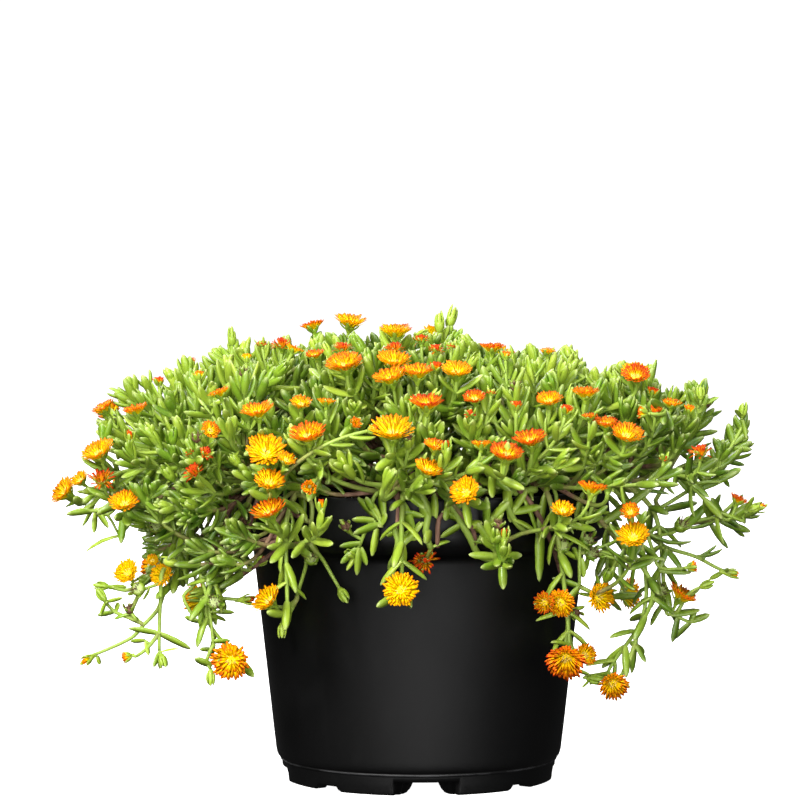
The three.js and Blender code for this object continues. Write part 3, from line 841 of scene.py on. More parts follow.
# Flowers, buds and seed heads that hang, with their depth y, or "front" for just in front of
# the pot
HANGING = [
    (-72, -217, 153, 18, 63, -114, 0.08, "open"), (-70, -218, 88, 12, 104, -165, 0.5, "closed"),
    (-62, -243, 88, 7, 108, -130, 0.45, "bud"), (-66, -233, 132, 7, 40, 160, 0, "green"),
    (-62, -214, 124, 10, 20, -100, 1, "dry"), (-52, -232, 141, 8, 84, 176, 0, "green"),
    (-72, -190, 88, 8, 150, -60, 0, "green"), (-90, -130, 131, 7, 86, -10, 0.95, "bud"),
    (-96, -120, 158, 7, 60, -10, 0.95, "bud"), (-102, -154, 77, 6, 170, -90, 0, "green"),
    (-98, -151, 129, 9, 80, -90, 1, "capsule"), (-84, -207, 139, 10, 80, -100, 1, "capsule"),
    (-60, -197, 161, 9, 60, -90, 0.3, "open"), ("front", -101, 111, 8, 165, -90, 0, "green"),
    ("front", -57, 137, 9, 140, -40, 0, "green"), ("front", -79, 161, 10, 60, -100, 1, "capsule"),
    ("front", -54, 185, 7, 60, -90, 1, "dry"), (-110, -142, 171, 11, 60, -90, 1, "capsule"),
    (-100, -159, 172, 9, 50, -120, 1, "capsule"), (-90, -194, 185, 10, 60, -90, 1, "capsule"),
    (-92, -142, 170, 7, 80, -60, 1, "dry"), (-100, -129, 190, 17, 70, -60, 1, "dry"),
    ("front", -13, 158, 6, 80, -90, 0, "green"), ("front", 4, 161, 19, 80, -95, 1, "old"),
    ("front", -49, 164, 7, 70, -120, 0, "green"), (-152, 92, 129, 15, 84, -110, 0.7, "open"),
    (-150, 105, 128, 19, 98, -96, 0.4, "open"), (-125, 136, 133, 20, 84, -60, 0.15, "open"),
    (-130, 125, 91, 16, 64, -60, 0.4, "open"), (-105, 128, 72, 9, 96, -10, 0, "green"),
    (-118, 124, 174, 11, 50, -60, 1, "capsule"), (-118, 127, 165, 10, 70, -60, 1, "capsule"),
    (-122, 107, 170, 9, 60, -100, 1, "capsule"), (-118, 116, 121, 9, 110, -60, 1, "dry"),
    (-75, 204, 156, 12, 80, 10, 0.75, "closed"), (-72, 178, 137, 11, 70, -60, 1, "capsule"),
    (-55, 229, 151, 9, 100, 10, 0.5, "bud"), (-70, 193, 185, 11, 50, -40, 1, "capsule"),
    (-50, 246, 198, 8, 66, 8, 0, "green"), (-42, 239, 269, 8, 8, 0, 0, "green"),
    (-32, 208, 282, 8, 10, 90, 0, "green"), (-64, 210, 141, 6, 70, 0, 0, "green"),
    (-112, 139, 147, 9, 40, -60, 0, "green"), (-112, 146, 158, 8, 30, -30, 0, "green"),
    (-70, 118, 227, 9, 30, -30, 1, "capsule"),
]

# Stems that hang or reach out, likewise: depth, kind, and points (x, z)
BRANCHES = [
    (-70, 0, [(-189, 153), (-191, 131), (-192, 106), (-192, 93)]),
    (-70, 0, [(-192, 106), (-202, 94), (-209, 89)]),
    (-60, 0, [(-188, 137), (-193, 124), (-204, 112), (-211, 104), (-231, 94), (-241, 90)]),
    (-60, 0, [(-206, 114), (-215, 118), (-225, 122), (-233, 131)]),
    (-62, 0, [(-209, 116), (-213, 122)]),
    (-50, 0, [(-207, 139), (-217, 138), (-231, 141)]),
    (-80, 0, [(-142, 171), (-155, 156), (-169, 139), (-174, 134), (-166, 117)]),
    (-95, 0, [(-162, 161), (-157, 134), (-154, 116), (-152, 97)]),
    (-90, 0, [(-155, 131), (-146, 132), (-132, 131)]),
    (-95, 0, [(-141, 167), (-135, 156), (-125, 153), (-120, 158)]),
    (-100, 0, [(-152, 97), (-157, 86), (-154, 79)]),
    ("front", 0, [(-80, 205), (-80, 183), (-83, 158), (-90, 134)]),
    ("front", 0, [(-90, 132), (-98, 126), (-106, 126)]),
    ("front", 0, [(-90, 132), (-95, 122), (-99, 115)]),
    ("front", 0, [(-80, 172), (-71, 161), (-63, 147), (-59, 140)]),
    ("front", 0, [(-88, 190), (-95, 178), (-105, 179)]),
    ("front", 0, [(-31, 210), (-34, 205), (-34, 198), (-29, 190), (-28, 185)]),
    ("front", 0, [(-28, 186), (-36, 187), (-40, 181), (-44, 170)]),
    ("front", 1, [(-18, 213), (-15, 205), (-15, 194), (-16, 184)]),
    ("front", 2, [(-18, 184), (-15, 176), (-17, 164), (-21, 155), (-18, 148)]),
    ("front", 2, [(-3, 213), (4, 205), (7, 193), (5, 182), (9, 169)]),
    ("front", 1, [(22, 200), (15, 191), (14, 180), (14, 170)]),
    ("front", 2, [(23, 202), (31, 189), (38, 177), (44, 165), (53, 161), (62, 161)]),
    ("front", 0, [(41, 172), (48, 181), (52, 190), (58, 196)]),
    ("front", 0, [(54, 161), (59, 167), (62, 172)]),
    ("front", 2, [(72, 217), (65, 205), (68, 195), (74, 186), (81, 181)]),
    ("front", 1, [(72, 215), (84, 201), (96, 179), (105, 152), (109, 138)]),
    ("front", 0, [(109, 138), (111, 126), (111, 109), (114, 95)]),
    ("front", 0, [(111, 123), (110, 109), (108, 94)]),
    (-120, 0, [(130, 213), (125, 190), (120, 175), (119, 161), (119, 141)]),
    (-120, 0, [(119, 141), (127, 137), (133, 135)]),
    (-118, 0, [(127, 166), (138, 164), (147, 161)]),
    ("front", 0, [(102, 198), (102, 187), (102, 172)]),
    (-95, 0, [(164, 172), (168, 148), (168, 130), (160, 98), (151, 77)]),
    (-95, 0, [(160, 98), (154, 80), (146, 71)]),
    (-70, 0, [(164, 190), (173, 168), (178, 155), (189, 154), (201, 155)]),
    (-60, 0, [(178, 155), (179, 138), (190, 120), (201, 114)]),
    (-60, 0, [(190, 120), (195, 128), (196, 132)]),
    (-50, 0, [(173, 177), (183, 170), (205, 163), (220, 155), (227, 152)]),
    (-40, 0, [(164, 193), (178, 199), (196, 210), (212, 220), (225, 233), (232, 247), (238, 258),
              (239, 266)]),
    (-30, 0, [(175, 205), (181, 215), (185, 236), (200, 254), (204, 261), (206, 273)]),
    (-45, 0, [(171, 183), (187, 183), (206, 190), (224, 193), (239, 196)]),
    (-45, 0, [(224, 194), (231, 201), (236, 206)]),
    (-50, 0, [(175, 179), (184, 181), (192, 184)]),
    (-60, 0, [(-224, 207), (-238, 197), (-250, 198), (-259, 195)]),
    (-50, 0, [(-221, 205), (-230, 194), (-238, 196)]),
]

# Leaves on them, by depth: width, foot x and z, tip x and z, and how far they curl
LAID_LEAVES = [
    ("front", [
        (5.5, 2, 193, -11, 195, 0.25), (6, 12, 193, 11, 210, 0.1), (6, 2, 188, -17, 169, -0.15),
        (5.5, 9, 170, 17, 153, 0.1), (5.5, 11, 170, 23, 174, -0.3), (7, 4, 204, 11, 195, 0.2),
        (6.5, 8, 183, 5, 173, 0), (6, 7, 190, 1, 201, 0.1), (6, -26, 193, -29, 215, 0.1),
        (5.5, -33, 190, -49, 190, 0.15), (6, -29, 187, -48, 179, 0.2), (5.5, -31, 184, -34, 164, 0.05),
        (6, -32, 193, -45, 206, 0.1), (6, -33, 196, -39, 207, 0), (6, -29, 190, -35, 203, 0),
        (5, -28, 187, -24, 195, 0), (5, -43, 173, -58, 170, 0.2), (5.5, -44, 169, -45, 150, 0.1),
        (5, -43, 170, -39, 157, -0.1), (5.5, -46, 169, -57, 158, 0.1), (5, -17, 178, 0, 178, 0.2),
        (5, -18, 181, -24, 179, 0.1), (5.5, -16, 172, -5, 183, -0.3), (5, -16, 185, -11, 181, 0),
        (6, -20, 156, -30, 170, 0), (5.5, -22, 151, -44, 148, 0.1), (5.5, -21, 149, -31, 139, 0),
        (5, -17, 152, -6, 144, 0.1), (5.5, -20, 155, -12, 158, 0.3), (5.5, 31, 190, 17, 196, 0.1),
        (5.5, 32, 187, 17, 177, 0.15), (6, 34, 186, 47, 189, 0.2), (6.5, 23, 202, 20, 190, 0.1),
        (6, 25, 199, 34, 205, 0.2), (6, 28, 195, 39, 191, -0.2), (6, 21, 196, 22, 210, 0.1),
        (6, 52, 190, 66, 204, 0.1), (6, 50, 186, 50, 207, 0.05), (6, 48, 181, 36, 187, 0.1),
        (6, 49, 184, 62, 196, 0.1), (5.5, 45, 167, 31, 156, 0.2), (5, 41, 172, 42, 179, 0),
        (6, 62, 161, 90, 161, 0.05), (4.5, 61, 160, 59, 145, 1.2), (6, 54, 161, 48, 171, 0),
        (6, 62, 161, 66, 167, 0), (5.5, 62, 161, 75, 164, 0.1), (6, 56, 162, 52, 175, 0),
        (5, 39, 175, 53, 175, 0.3), (6, 60, 161, 71, 158, -0.1), (6.5, 65, 201, 65, 219, 0.05),
        (6, 68, 195, 79, 213, 0.1), (6, 68, 196, 90, 201, 0.1), (6.5, 70, 190, 87, 180, -0.3),
        (6, 66, 205, 59, 195, 0.2),
    ]),
    (-70, [(5, -192, 106, -214, 109, 0.15), (5.5, -192, 106, -170, 94, -0.15)]),
    (-72, [(4, -192, 92, -196, 81, 0.1)]),
    (-71, [(4, -203, 101, -213, 100, 0), (4, -202, 100, -200, 90, 0)]),
    (-60, [(4.5, -226, 122, -237, 119, 0.2), (4, -224, 123, -222, 129, 0)]),
    (-62, [(5, -206, 114, -218, 120, 0.1), (3.5, -238, 89, -236, 83, 0)]),
    (-88, [(6, -160, 132, -160, 108, 0.1)]),
    (-84, [(4.5, -163, 115, -173, 118, 0)]),
    (-88, [(4, -150, 122, -137, 121, -0.2)]),
    (-96, [(4.5, -152, 100, -140, 100, -0.2), (4, -152, 94, -162, 94, 0.1)]),
    (-100, [(6, -153, 82, -166, 87, 0.1)]),
    (-60, [(5.5, -221, 178, -245, 167, 0.5)]),
    (-50, [(4.5, -239, 196, -240, 181, 0)]),
    (-60, [(5, -241, 197, -260, 194, 0.1), (5, -239, 199, -230, 184, -0.2)]),
    ("front", [
        (5.5, -95, 195, -106, 168, -1.5), (5, -104, 181, -129, 184, 0.3),
        (5.5, -104, 181, -126, 196, 0.3), (5, -104, 181, -96, 201, -0.2), (4.5, -90, 131, -89, 107, -0.1),
        (4.5, -99, 115, -112, 106, 0), (4.5, -82, 171, -90, 170, 0), (5, -74, 164, -86, 185, -0.1),
        (5, -74, 164, -63, 178, 0.3), (4.5, -71, 161, -76, 150, 0), (6, 75, 209, 87, 179, -0.3),
        (6, 67, 207, 68, 189, 0), (7.5, 90, 193, 90, 146, 0.05), (5, 111, 104, 91, 110, 0.2),
        (5, 111, 101, 99, 95, 0.2), (5, 111, 107, 105, 111, 0.3), (4.5, 111, 106, 116, 100, 0),
    ]),
    (-118, [
        (5.5, 119, 141, 109, 128, 0.1), (5, 119, 141, 99, 146, 0.2), (5, 119, 161, 114, 170, 0),
        (6, 120, 162, 121, 148, -0.2), (5, 125, 190, 121, 200, 0), (5, 125, 189, 139, 201, 0.1),
        (5, 125, 189, 136, 193, 0),
    ]),
    (-120, [(4.5, 102, 183, 109, 170, 0)]),
    (-90, [
        (7, 133, 186, 172, 216, 0.1), (5.5, 132, 170, 150, 178, 0.3), (5.5, 134, 167, 164, 155, -0.3),
    ]),
    (-95, [(6.5, 170, 181, 201, 175, 0.8)]),
    (-92, [(5, 164, 172, 177, 161, -0.1)]),
    (-94, [(5.5, 168, 161, 161, 170, 0)]),
    (-92, [
        (5.5, 161, 97, 167, 91, 0), (5, 160, 97, 158, 77, 0), (4.5, 161, 98, 168, 85, 0),
        (4.5, 160, 97, 157, 100, 0),
    ]),
    (-68, [(5.5, 178, 155, 183, 169, 0.1), (5, 178, 153, 201, 152, 0.1)]),
    (-62, [(6, 176, 142, 160, 127, 1.3)]),
    (-60, [
        (5.5, 179, 138, 196, 145, 0.3), (5, 179, 131, 165, 130, 0.2), (5, 180, 132, 182, 123, 0),
        (5.5, 192, 118, 188, 100, 0), (5, 201, 114, 188, 101, 0.1), (5.5, 201, 115, 215, 121, 0.2),
        (4.5, 201, 115, 205, 123, 0), (4.5, 196, 132, 208, 140, 0),
    ]),
    (-50, [(6, 206, 164, 224, 169, 0.5), (5, 206, 163, 220, 172, 0.3), (4.5, 208, 161, 212, 164, 0)]),
    (-45, [
        (6.5, 183, 198, 206, 202, -0.2), (7, 196, 184, 213, 203, 0.1), (6, 201, 185, 219, 190, 0.3),
        (5, 224, 194, 237, 184, -0.2), (6, 224, 194, 217, 207, -0.2), (4.5, 234, 196, 245, 203, 0.1),
    ]),
    (-40, [
        (6, 212, 218, 199, 233, 0.1), (6.5, 224, 221, 237, 229, 0.2), (5.5, 225, 233, 217, 251, 0.1),
        (5.5, 227, 233, 220, 241, 0), (5.5, 232, 247, 228, 261, 0), (5.5, 232, 247, 243, 257, 0.1),
        (5, 238, 257, 233, 267, 0), (5, 238, 257, 242, 270, 0), (6.5, 208, 215, 184, 227, 0.2),
        (6, 200, 213, 208, 233, 0),
    ]),
    (-30, [
        (6.5, 200, 254, 184, 244, 0.2), (6, 204, 261, 201, 281, 0.1), (5.5, 206, 272, 212, 295, 0),
        (5.5, 206, 272, 199, 287, 0), (5.5, 207, 270, 213, 283, 0), (6, 193, 247, 177, 250, 0.2),
        (6.5, 186, 236, 174, 250, 0.1),
    ]),
    (-40, [(7, 200, 211, 234, 227, 0.1)]),
]


def laid(depth, x, z, gap=8.0):
    """A point of a hanging part, at its depth or just in front of the pot."""
    if depth != "front":
        return seen(x, z, depth)
    place = seen(x, z, -120)
    for _ in range(3):
        radius = float(pot_radius(place[2], POT_OUTSIDE, gap))
        place = seen(x, z, -math.sqrt(max(radius ** 2 - place[0] ** 2, 30.0 ** 2)))
    return place


# Start and end radius of a laid stem, and its age there: green, brown and stout green
BRANCH_KINDS = [(1.8, 1.25, 0.45, 0.0), (2.2, 1.7, 1.0, 0.8), (2.9, 2.2, 0.3, 0.05)]


def lay_branch(depth, kind, points):
    places = [laid(depth, x, z) for x, z in points]
    stems, _, owners = plant.stems()
    distance = np.linalg.norm(stems - places[0], axis=1)
    k = int(np.argmin(distance))
    head = [stems[k]]
    if distance[k] > 12:
        azimuth = math.atan2(places[0][1], places[0][0])
        over = polar(COLLAR_RADIUS + 5, azimuth, POT_HEIGHT + 5)
        if math.hypot(*places[0][:2]) < COLLAR_RADIUS + 45:
            inner = polar(104, azimuth, POT_HEIGHT + 5)
            high = stems[:, 2] > POT_HEIGHT - 2
            k = int(np.argmin(np.where(high, np.linalg.norm(stems - inner, axis=1), 1e9)))
            head = [stems[k], over] if np.linalg.norm(stems[k] - inner) < 40 else [stems[k], inner, over]
    line = outside_pot(catmull([*head, *places], 6.0), 3.5)
    owner = int(owners[k])
    start, end, foot_age, tip_age = BRANCH_KINDS[kind]
    radii = np.linspace(start, end, len(line))
    ages = (0.5, foot_age, tip_age)
    add_tube(plant.shapes[owner], line, radii, ages, STEM, sides=7)
    plant.remember(line, owner)


def nearest_stem(place):
    stems, _, owners = plant.stems()
    distance = np.linalg.norm(stems - place, axis=1)
    k = int(np.argmin(distance))
    return stems[k], int(owners[k]), float(distance[k])


def lay_leaf(depth, width, x0, z0, x1, z1, curl):
    guess = laid(depth, x0, z0)
    stems, _, owners = plant.stems()
    apart = np.linalg.norm(as_seen(stems) - (x0, z0), axis=1)
    k = int(np.argmin(apart + 0.12 * np.abs(stems[:, 1] - guess[1])))
    foot = seen(x0, z0, stems[k, 1])
    owner = int(owners[k])
    if apart[k] > 30:
        return
    if apart[k] > 1.5:
        joint = np.array([stems[k], stems[k] * 0.6 + foot * 0.4 + UP * 0.06 * apart[k], foot])
        add_tube(plant.shapes[owner], joint, [1.2, 1.0, 0.9], (0.6, 0.2, 0.1), STEM, sides=6)
    tip = seen(x1, z1, foot[1] + rng.normal(0, 3))
    if depth == "front":
        ahead_of_pot = laid("front", x1, z1, 5.0)
        tip = ahead_of_pot if ahead_of_pot[1] < tip[1] else tip
    chord = unit(tip - foot)
    bend = abs(curl) + 0.02
    sense = 1 if curl >= 0 else -1
    toward_viewer = np.array([0.0, -1.0, 0.0])
    toward_viewer = unit(toward_viewer - chord * float(chord @ toward_viewer))
    along = turned(chord, toward_viewer, -sense * bend / 2)
    inner = turned(along, toward_viewer, sense * math.pi / 2)
    if bend < 0.28:
        inner = unit(0.5 * inner + 0.85 * toward_viewer)
    length = np.linalg.norm(tip - foot) * (bend / 2) / math.sin(bend / 2)
    # Painted shade: laid leaves further right are made older and darker, as that side lies in shadow.
    shade = 0.5 * float(np.interp(x0, [125, 170], [0, 1]))
    plant.leaves[owner].add(foot, along, inner, length * 1.04, width * 1.08, bend, rng.uniform(0.2, 0.8),
                            rng.uniform(0.1, 0.5) + shade)


def join_flower(foot, axis):
    """A stalk from the nearest stem to a flower's foot, where no stem ends there."""
    stem, owner, distance = nearest_stem(foot)
    if distance < 2.0:
        return
    line = bezier(stem, stem * 0.7 + foot * 0.3, foot - axis * distance * 0.4, foot, 7)
    add_tube(plant.shapes[owner], line, np.linspace(1.3, 1.1, 7), (0.6, 0.15, 0.0), STEM, sides=6)
    leaf_pair(plant.leaves[owner], line[3], unit(line[4] - line[2]), rng.uniform(0, 3), 50, 14, 3.8, 0.2, 0.6)


# How low the cushion's tips come, in each direction from +X, and how full its skirt is there
SKIRT_AT = [0, 40, 90, 140, 180, 212, 232, 248, 258, 282, 292, 306, 322, 340, 360]
SKIRT_LOW = [158, 155, 165, 148, 138, 142, 172, 214, 234, 234, 222, 196, 176, 162, 158]
SKIRT_TOP, SKIRT_SHARE = 212, 0.34
SKIRT_FULL = [0.12, 0.5, 0.8, 0.8, 0.42, 0.28, 0.36, 0.7, 1.0, 1.0, 0.9, 0.7, 0.25, 0.12, 0.12]


def cushion_point():
    """A random place on the cushion's outside, and the way that a shoot points there."""
    angle = rng.uniform(0, 2 * math.pi)
    degrees = math.degrees(angle)
    low = float(np.interp(degrees, SKIRT_AT, SKIRT_LOW))
    wide = float(half_width(angle))
    if low < SKIRT_TOP - 7 and rng.uniform() < SKIRT_SHARE:
        if rng.uniform() > np.interp(degrees, SKIRT_AT, SKIRT_FULL):
            return None
        z = rng.uniform(low, SKIRT_TOP)
        share = (z - low) / max(SKIRT_TOP - low, 1)
        place = polar(wide * (0.80 + 0.15 * share), angle, z)
        direction = unit(polar(0.9, angle, 0.5 * share - 0.3) + rng.normal(0, 0.35, 3))
        return place, direction
    rise = math.asin(rng.uniform(0, 1))
    ray = np.array([math.cos(rise) * math.cos(angle), math.cos(rise) * math.sin(angle), math.sin(rise)])
    start = np.array([0, 0, CUSHION_CENTRE_Z + 6.0])
    near, far = 0.0, 330.0
    for _ in range(22):
        middle = (near + far) / 2
        if depth_inside(start + ray * middle) < 0:
            near = middle
        else:
            far = middle
    place = start + ray * near
    if place[2] < low + 4:
        return None
    normal = outward_from_cushion(place)
    direction = unit(normal * 0.62 + UP * 0.45 + rng.normal(0, 0.32, 3))
    return place, direction


def scatter(count_tries, spacing, taken, draw):
    """Random places from `draw`, none nearer than `spacing` to another or to those taken."""
    kept, places = [], [np.asarray(p) for p in taken]
    for _ in range(count_tries):
        drawn = draw()
        if drawn is None:
            continue
        if places and np.min(np.linalg.norm(np.array(places) - drawn[0], axis=1)) < spacing:
            continue
        places.append(drawn[0])
        kept.append(drawn)
    return kept


# Ends of shoots that stand out in the plant's outline: x, z, tilt, heading, kind, size
TIPS = [
    (14, 339, 8, 150, "bud", 1.15), (24, 343, 12, 20, "bud", 1.2), (31, 333, 28, 0, "leaves", 0.8),
    (4, 332, 14, 180, "leaves", 0.8), (-137, 328, 4, 0, "bud", 1), (-153, 319, 38, 180, "leaves", 0.85),
    (-124, 324, 24, 20, "leaves", 0.9), (-172, 313, 6, 180, "leaves", 0.95),
    (-186, 304, 24, 170, "leaves", 0.9), (-204, 301, 20, 180, "leaves", 0.9),
    (-217, 300, 22, 190, "leaves", 1), (-227, 287, 60, 180, "leaves", 0.8),
    (-240, 256, 70, 185, "leaves", 1), (-237, 266, 55, 175, "leaves", 0.8),
    (84, 323, 6, 180, "leaves", 1), (108, 322, 3, 0, "leaves", 1.15), (117, 313, 26, 0, "leaves", 0.95),
    (129, 306, 10, 180, "leaves", 0.85), (140, 305, 14, 10, "leaves", 0.8),
    (150, 308, 18, 180, "leaves", 0.7), (174, 309, 16, 0, "leaves", 0.9),
    (201, 295, 12, 180, "leaves", 0.95), (212, 296, 14, 0, "leaves", 1),
    (240, 271, 10, 0, "leaves", 0.85), (228, 262, 16, 180, "leaves", 0.8),
    (244, 256, 38, 0, "leaves", 0.8), (220, 251, 14, 180, "leaves", 0.8), (-98, 330, 14, 90, "leaves", 1),
    (-62, 326, 18, 200, "leaves", 0.9), (-78, 327, 10, 190, "leaves", 0.9),
    (-28, 328, 20, 170, "leaves", 0.85), (54, 319, 20, 10, "leaves", 0.9),
    (66, 318, 12, 200, "leaves", 0.9),
]


# Random places tried, and the least distance between them, for the flowers at the back, the
# cushion's outside and its inside
BACK_TRIES, BACK_SPACING = 900, 38
OUTSIDE_TRIES, OUTSIDE_SPACING = 12000, 19.5
INSIDE_TRIES, INSIDE_SPACING = 5000, 23
# Share of the cushion's shoots that end in a bud
BUD_SHARE = 0.17
# The farthest back that a flower's foot may be, so that the plant keeps to the frame's depth
BACK_LIMIT = 204
BACK_STATES = ["open"] * 6 + ["closed", "closed", "old", "bud", "green", "dry", "capsule", "open"]
# How far below a flower's foot its twig's leaves begin, by its state
BLOOM_GAP = {"open": 9, "closed": 8, "old": 8, "bud": 6, "green": 6, "dry": 6, "capsule": 6}
BLOOM_SCALE = 1.09


def grow_hanging():
    """The stems, leaves and flowers that hang before the pot or reach out beside it."""
    for depth, kind, points in BRANCHES:
        lay_branch(depth, kind, points)
    for depth, rows in LAID_LEAVES:
        for row in rows:
            lay_leaf(depth, *row)
    blooms = []
    for depth, x, z, width, tilt, heading, warmth, state in HANGING:
        axis = leaning(tilt, heading)
        foot = laid(depth, x, z, 12.0) - axis * width * FLOWER_DEPTH
        blooms.append((foot, axis, width, warmth, state))
        join_flower(foot, axis)
    return blooms


def grow_bloom_twig(foot, axis, end_gap):
    grow_twig(foot, axis, rng.uniform(55, 80), 1.7, 1.2, rng.uniform(0.1, 0.3), rng.uniform(0.3, 0.8), 6,
              end_gap=end_gap, scale=0.92)


def grow_front_blooms():
    """The flowers on the cushion that the photograph shows."""
    blooms = []
    for x, z, width, tilt, heading, warmth, state in BLOOMS:
        axis = leaning(tilt, heading)
        place = on_cushion(x, z, 3.0)
        width *= (place[1] - CAMERA[1]) / -CAMERA[1] * BLOOM_SCALE
        foot = place - axis * width * FLOWER_DEPTH
        blooms.append((foot, axis, width, warmth, state))
        grow_bloom_twig(foot, axis, BLOOM_GAP[state])
    return blooms


def back_point():
    drawn = cushion_point()
    return drawn if drawn is not None and drawn[0][1] > 30 else None


def grow_back_blooms(taken):
    """Flowers on the side that the photograph doesn't show."""
    blooms = []
    for place, direction in scatter(BACK_TRIES, BACK_SPACING, taken, back_point):
        if not in_full_part(place + UP * 14):
            continue
        state = BACK_STATES[rng.integers(len(BACK_STATES))]
        if place[2] > 285 and state in ("dry", "capsule", "green", "bud"):
            state = "open"
        width = rng.uniform(18, 25) if state in ("open", "old") else rng.uniform(9, 13)
        if state == "closed":
            width = rng.uniform(11, 15)
        axis = unit(direction + UP * 0.2 + rng.normal(0, 0.15, 3))
        foot = place + direction * 5
        foot[1] = min(foot[1], BACK_LIMIT)
        blooms.append((foot, axis, width, rng.uniform(0.1, 0.9), state))
        grow_bloom_twig(foot, axis, 9)
    return blooms


def grow_bud_twig(place, direction, size, reach, age, tone, end_gap, scale):
    """A leafy twig that ends in a green flower bud."""
    line, owner = grow_twig(place, direction, reach, 1.8, 1.4, age, tone, 6, end_gap=end_gap, scale=scale)
    green_bud(plant.shapes[owner], plant.leaves[owner], place, unit(line[-1] - line[-2]), size, tone,
              LEAF, TIP_SEPALS)


def grow_tips():
    """The shoots that stand out in the outline, and where their ends are."""
    ends = []
    for x, z, tilt, heading, kind, scale in TIPS:
        direction = leaning(tilt, heading)
        place = seen(x, z, on_cushion(x, z)[1] * 0.6)
        end = place - direction * 14 * scale
        tone, age = rng.uniform(0.3, 0.8), rng.uniform(0, 0.15)
        if kind == "bud":
            grow_bud_twig(place - direction * 9 * scale, direction, 9 * scale, rng.uniform(50, 75), age,
                          tone, 8, 0.9)
        else:
            grow_twig(end, direction, rng.uniform(50, 75), 1.8, 1.4, age, tone, 7, scale=scale)
        ends.append(end)
    return ends


def age_with_painted_shade(place):
    """How much older and darker shoots are made low down, on the right, and low on the left: partly real age,
    partly painted shade where the plant lies in shadow.
    """
    x, _, z = place
    age = 0.55 * float(np.interp(z, [170, 228], [1, 0]))
    age += 0.35 * float(np.interp(x, [120, 200], [0, 1]) * np.interp(z, [230, 280], [1, 0]))
    return age + 0.3 * float(np.interp(x, [-110, -70], [1, 0]) * np.interp(z, [205, 240], [1, 0]))


def fill_cushion(taken, blooms):
    """Shoots all over the cushion's outside, clear of the flowers in view."""
    in_view = [(centre, reach + 3) for centre, reach in flowers_in_view(blooms)]
    for place, direction in scatter(OUTSIDE_TRIES, OUTSIDE_SPACING, taken, cushion_point):
        depth = rng.uniform(0, 1) ** 2 * 22
        place = place - direction * (12 + depth)
        if blocked(place, 3.0) or not in_full_part(place + direction * 9):
            continue
        if covers_flower(place[None, None], in_view)[0]:
            continue
        # Deeper twigs, and those low down, on the right and low on the left, get older, darker colours:
        # partly real age, partly painted shade.
        tone, age = rng.uniform(0.1, 0.9), rng.uniform(0.0, 0.3) + 0.012 * depth + age_with_painted_shade(place)
        if rng.uniform() < BUD_SHARE:
            grow_bud_twig(place, direction, rng.uniform(8, 11), rng.uniform(50, 80), age, tone, 9,
                          rng.uniform(0.85, 1.0))
        else:
            grow_twig(place, direction, rng.uniform(50, 80), 1.9, 1.5, age, tone, int(rng.integers(5, 8)),
                      scale=rng.uniform(0.82, 1.1))


def inner_point():
    """A random place under the cushion's outside, or None."""
    drawn = cushion_point()
    if drawn is None or drawn[0][2] < 225:
        return None
    inwards = rng.uniform(0.45, 0.86)
    place = drawn[0] * np.array([inwards, inwards, 1.0]) - UP * rng.uniform(14, 50)
    return (place, drawn[1]) if place[2] > 226 and in_full_part(place) else None


def fill_inside():
    """Older twigs inside the cushion, which show between its shoots."""
    for place, direction in scatter(INSIDE_TRIES, INSIDE_SPACING, [], inner_point):
        grow_twig(place, direction, rng.uniform(35, 60), 1.8, 1.5, rng.uniform(0.7, 1.0),
                  rng.uniform(0.0, 0.4), 5, scale=1.05)


def grow_plant():
    """Every stem and leaf. What comes back is a list of the flowers that the frame doesn't have."""
    grow_main_stems()
    blooms = grow_hanging() + grow_front_blooms()
    taken = [np.array(shoot[:3], float) for shoot in SHOOTS] + [foot for foot, *_ in blooms]
    back_blooms = grow_back_blooms(taken)
    blooms += back_blooms
    taken += [foot for foot, *_ in back_blooms] + grow_tips()
    plant.filling = True
    fill_cushion(taken, blooms)
    fill_inside()
    plant.filling = False
    return blooms


def flowers_in_view(blooms):
    """The middle and the reach of each flower that the photograph shows."""
    own = [(np.array(shoot[:3], float), axis, shoot[5]) for shoot, axis in zip(SHOOTS, plant.axes)]
    others = [row[:3] for row in blooms if row[4] in ("open", "closed", "old")]
    return [(foot + axis * width * 0.25, width * (0.56 if axis[1] < -0.6 else 0.43))
            for foot, axis, width in own + others if foot[1] < 20]


def covers_flower(places, flowers):
    """Whether each leaf, by the places along it, stands before a flower of the photograph."""
    covers = np.zeros(len(places), bool)
    on_picture = as_seen(places)
    for centre, reach in flowers:
        apart = np.linalg.norm(on_picture - as_seen(centre), axis=-1)
        covers |= ((apart < reach) & (places[..., 1] < centre[1] + 4)).any(axis=1)
    return covers


def kept_leaves(table, flowers):
    """The leaves that are clear of the pot, the soil, the floor and the flowers."""
    if not len(table["length"]):
        return table
    places, _ = leaf_lines(table, np.linspace(0.1, 1.0, 7))
    clear = ~blocked(places, 2.0).any(axis=1) & (places[..., 2] > 4).all(axis=1)
    clear &= ~covers_flower(places, flowers)
    clear &= (table["filling"] == 0) | (in_full_part(places[:, 3]) & in_full_part(places[:, 6]))
    clear &= places[:, 6, 1] < BACK_LIMIT + 20
    # Painted shade: leaves on the plant's right side, below its top, are made older and darker, as that side
    # lies in shadow.
    shaded = np.interp(places[:, 3, 0], [122, 168], [0, 0.62])
    shaded *= np.interp(places[:, 3, 2], [262, 292], [1, 0.25])
    table["age"] = np.clip(table["age"] + shaded, 0, 1)
    return {name: values[clear] for name, values in table.items()}


SECTORS = 10
# Warmth of the frame's own flowers, by their place in the list; the others are in between
WARMTH = {0: 0.95, 2: 0.9, 3: 0.5, 5: 0.7, 6: 0.8, 8: 0.08, 9: 0.15, 10: 0.15, 12: 0.65, 14: 0.2,
          15: 0.5, 16: 0.08, 17: 0.3}


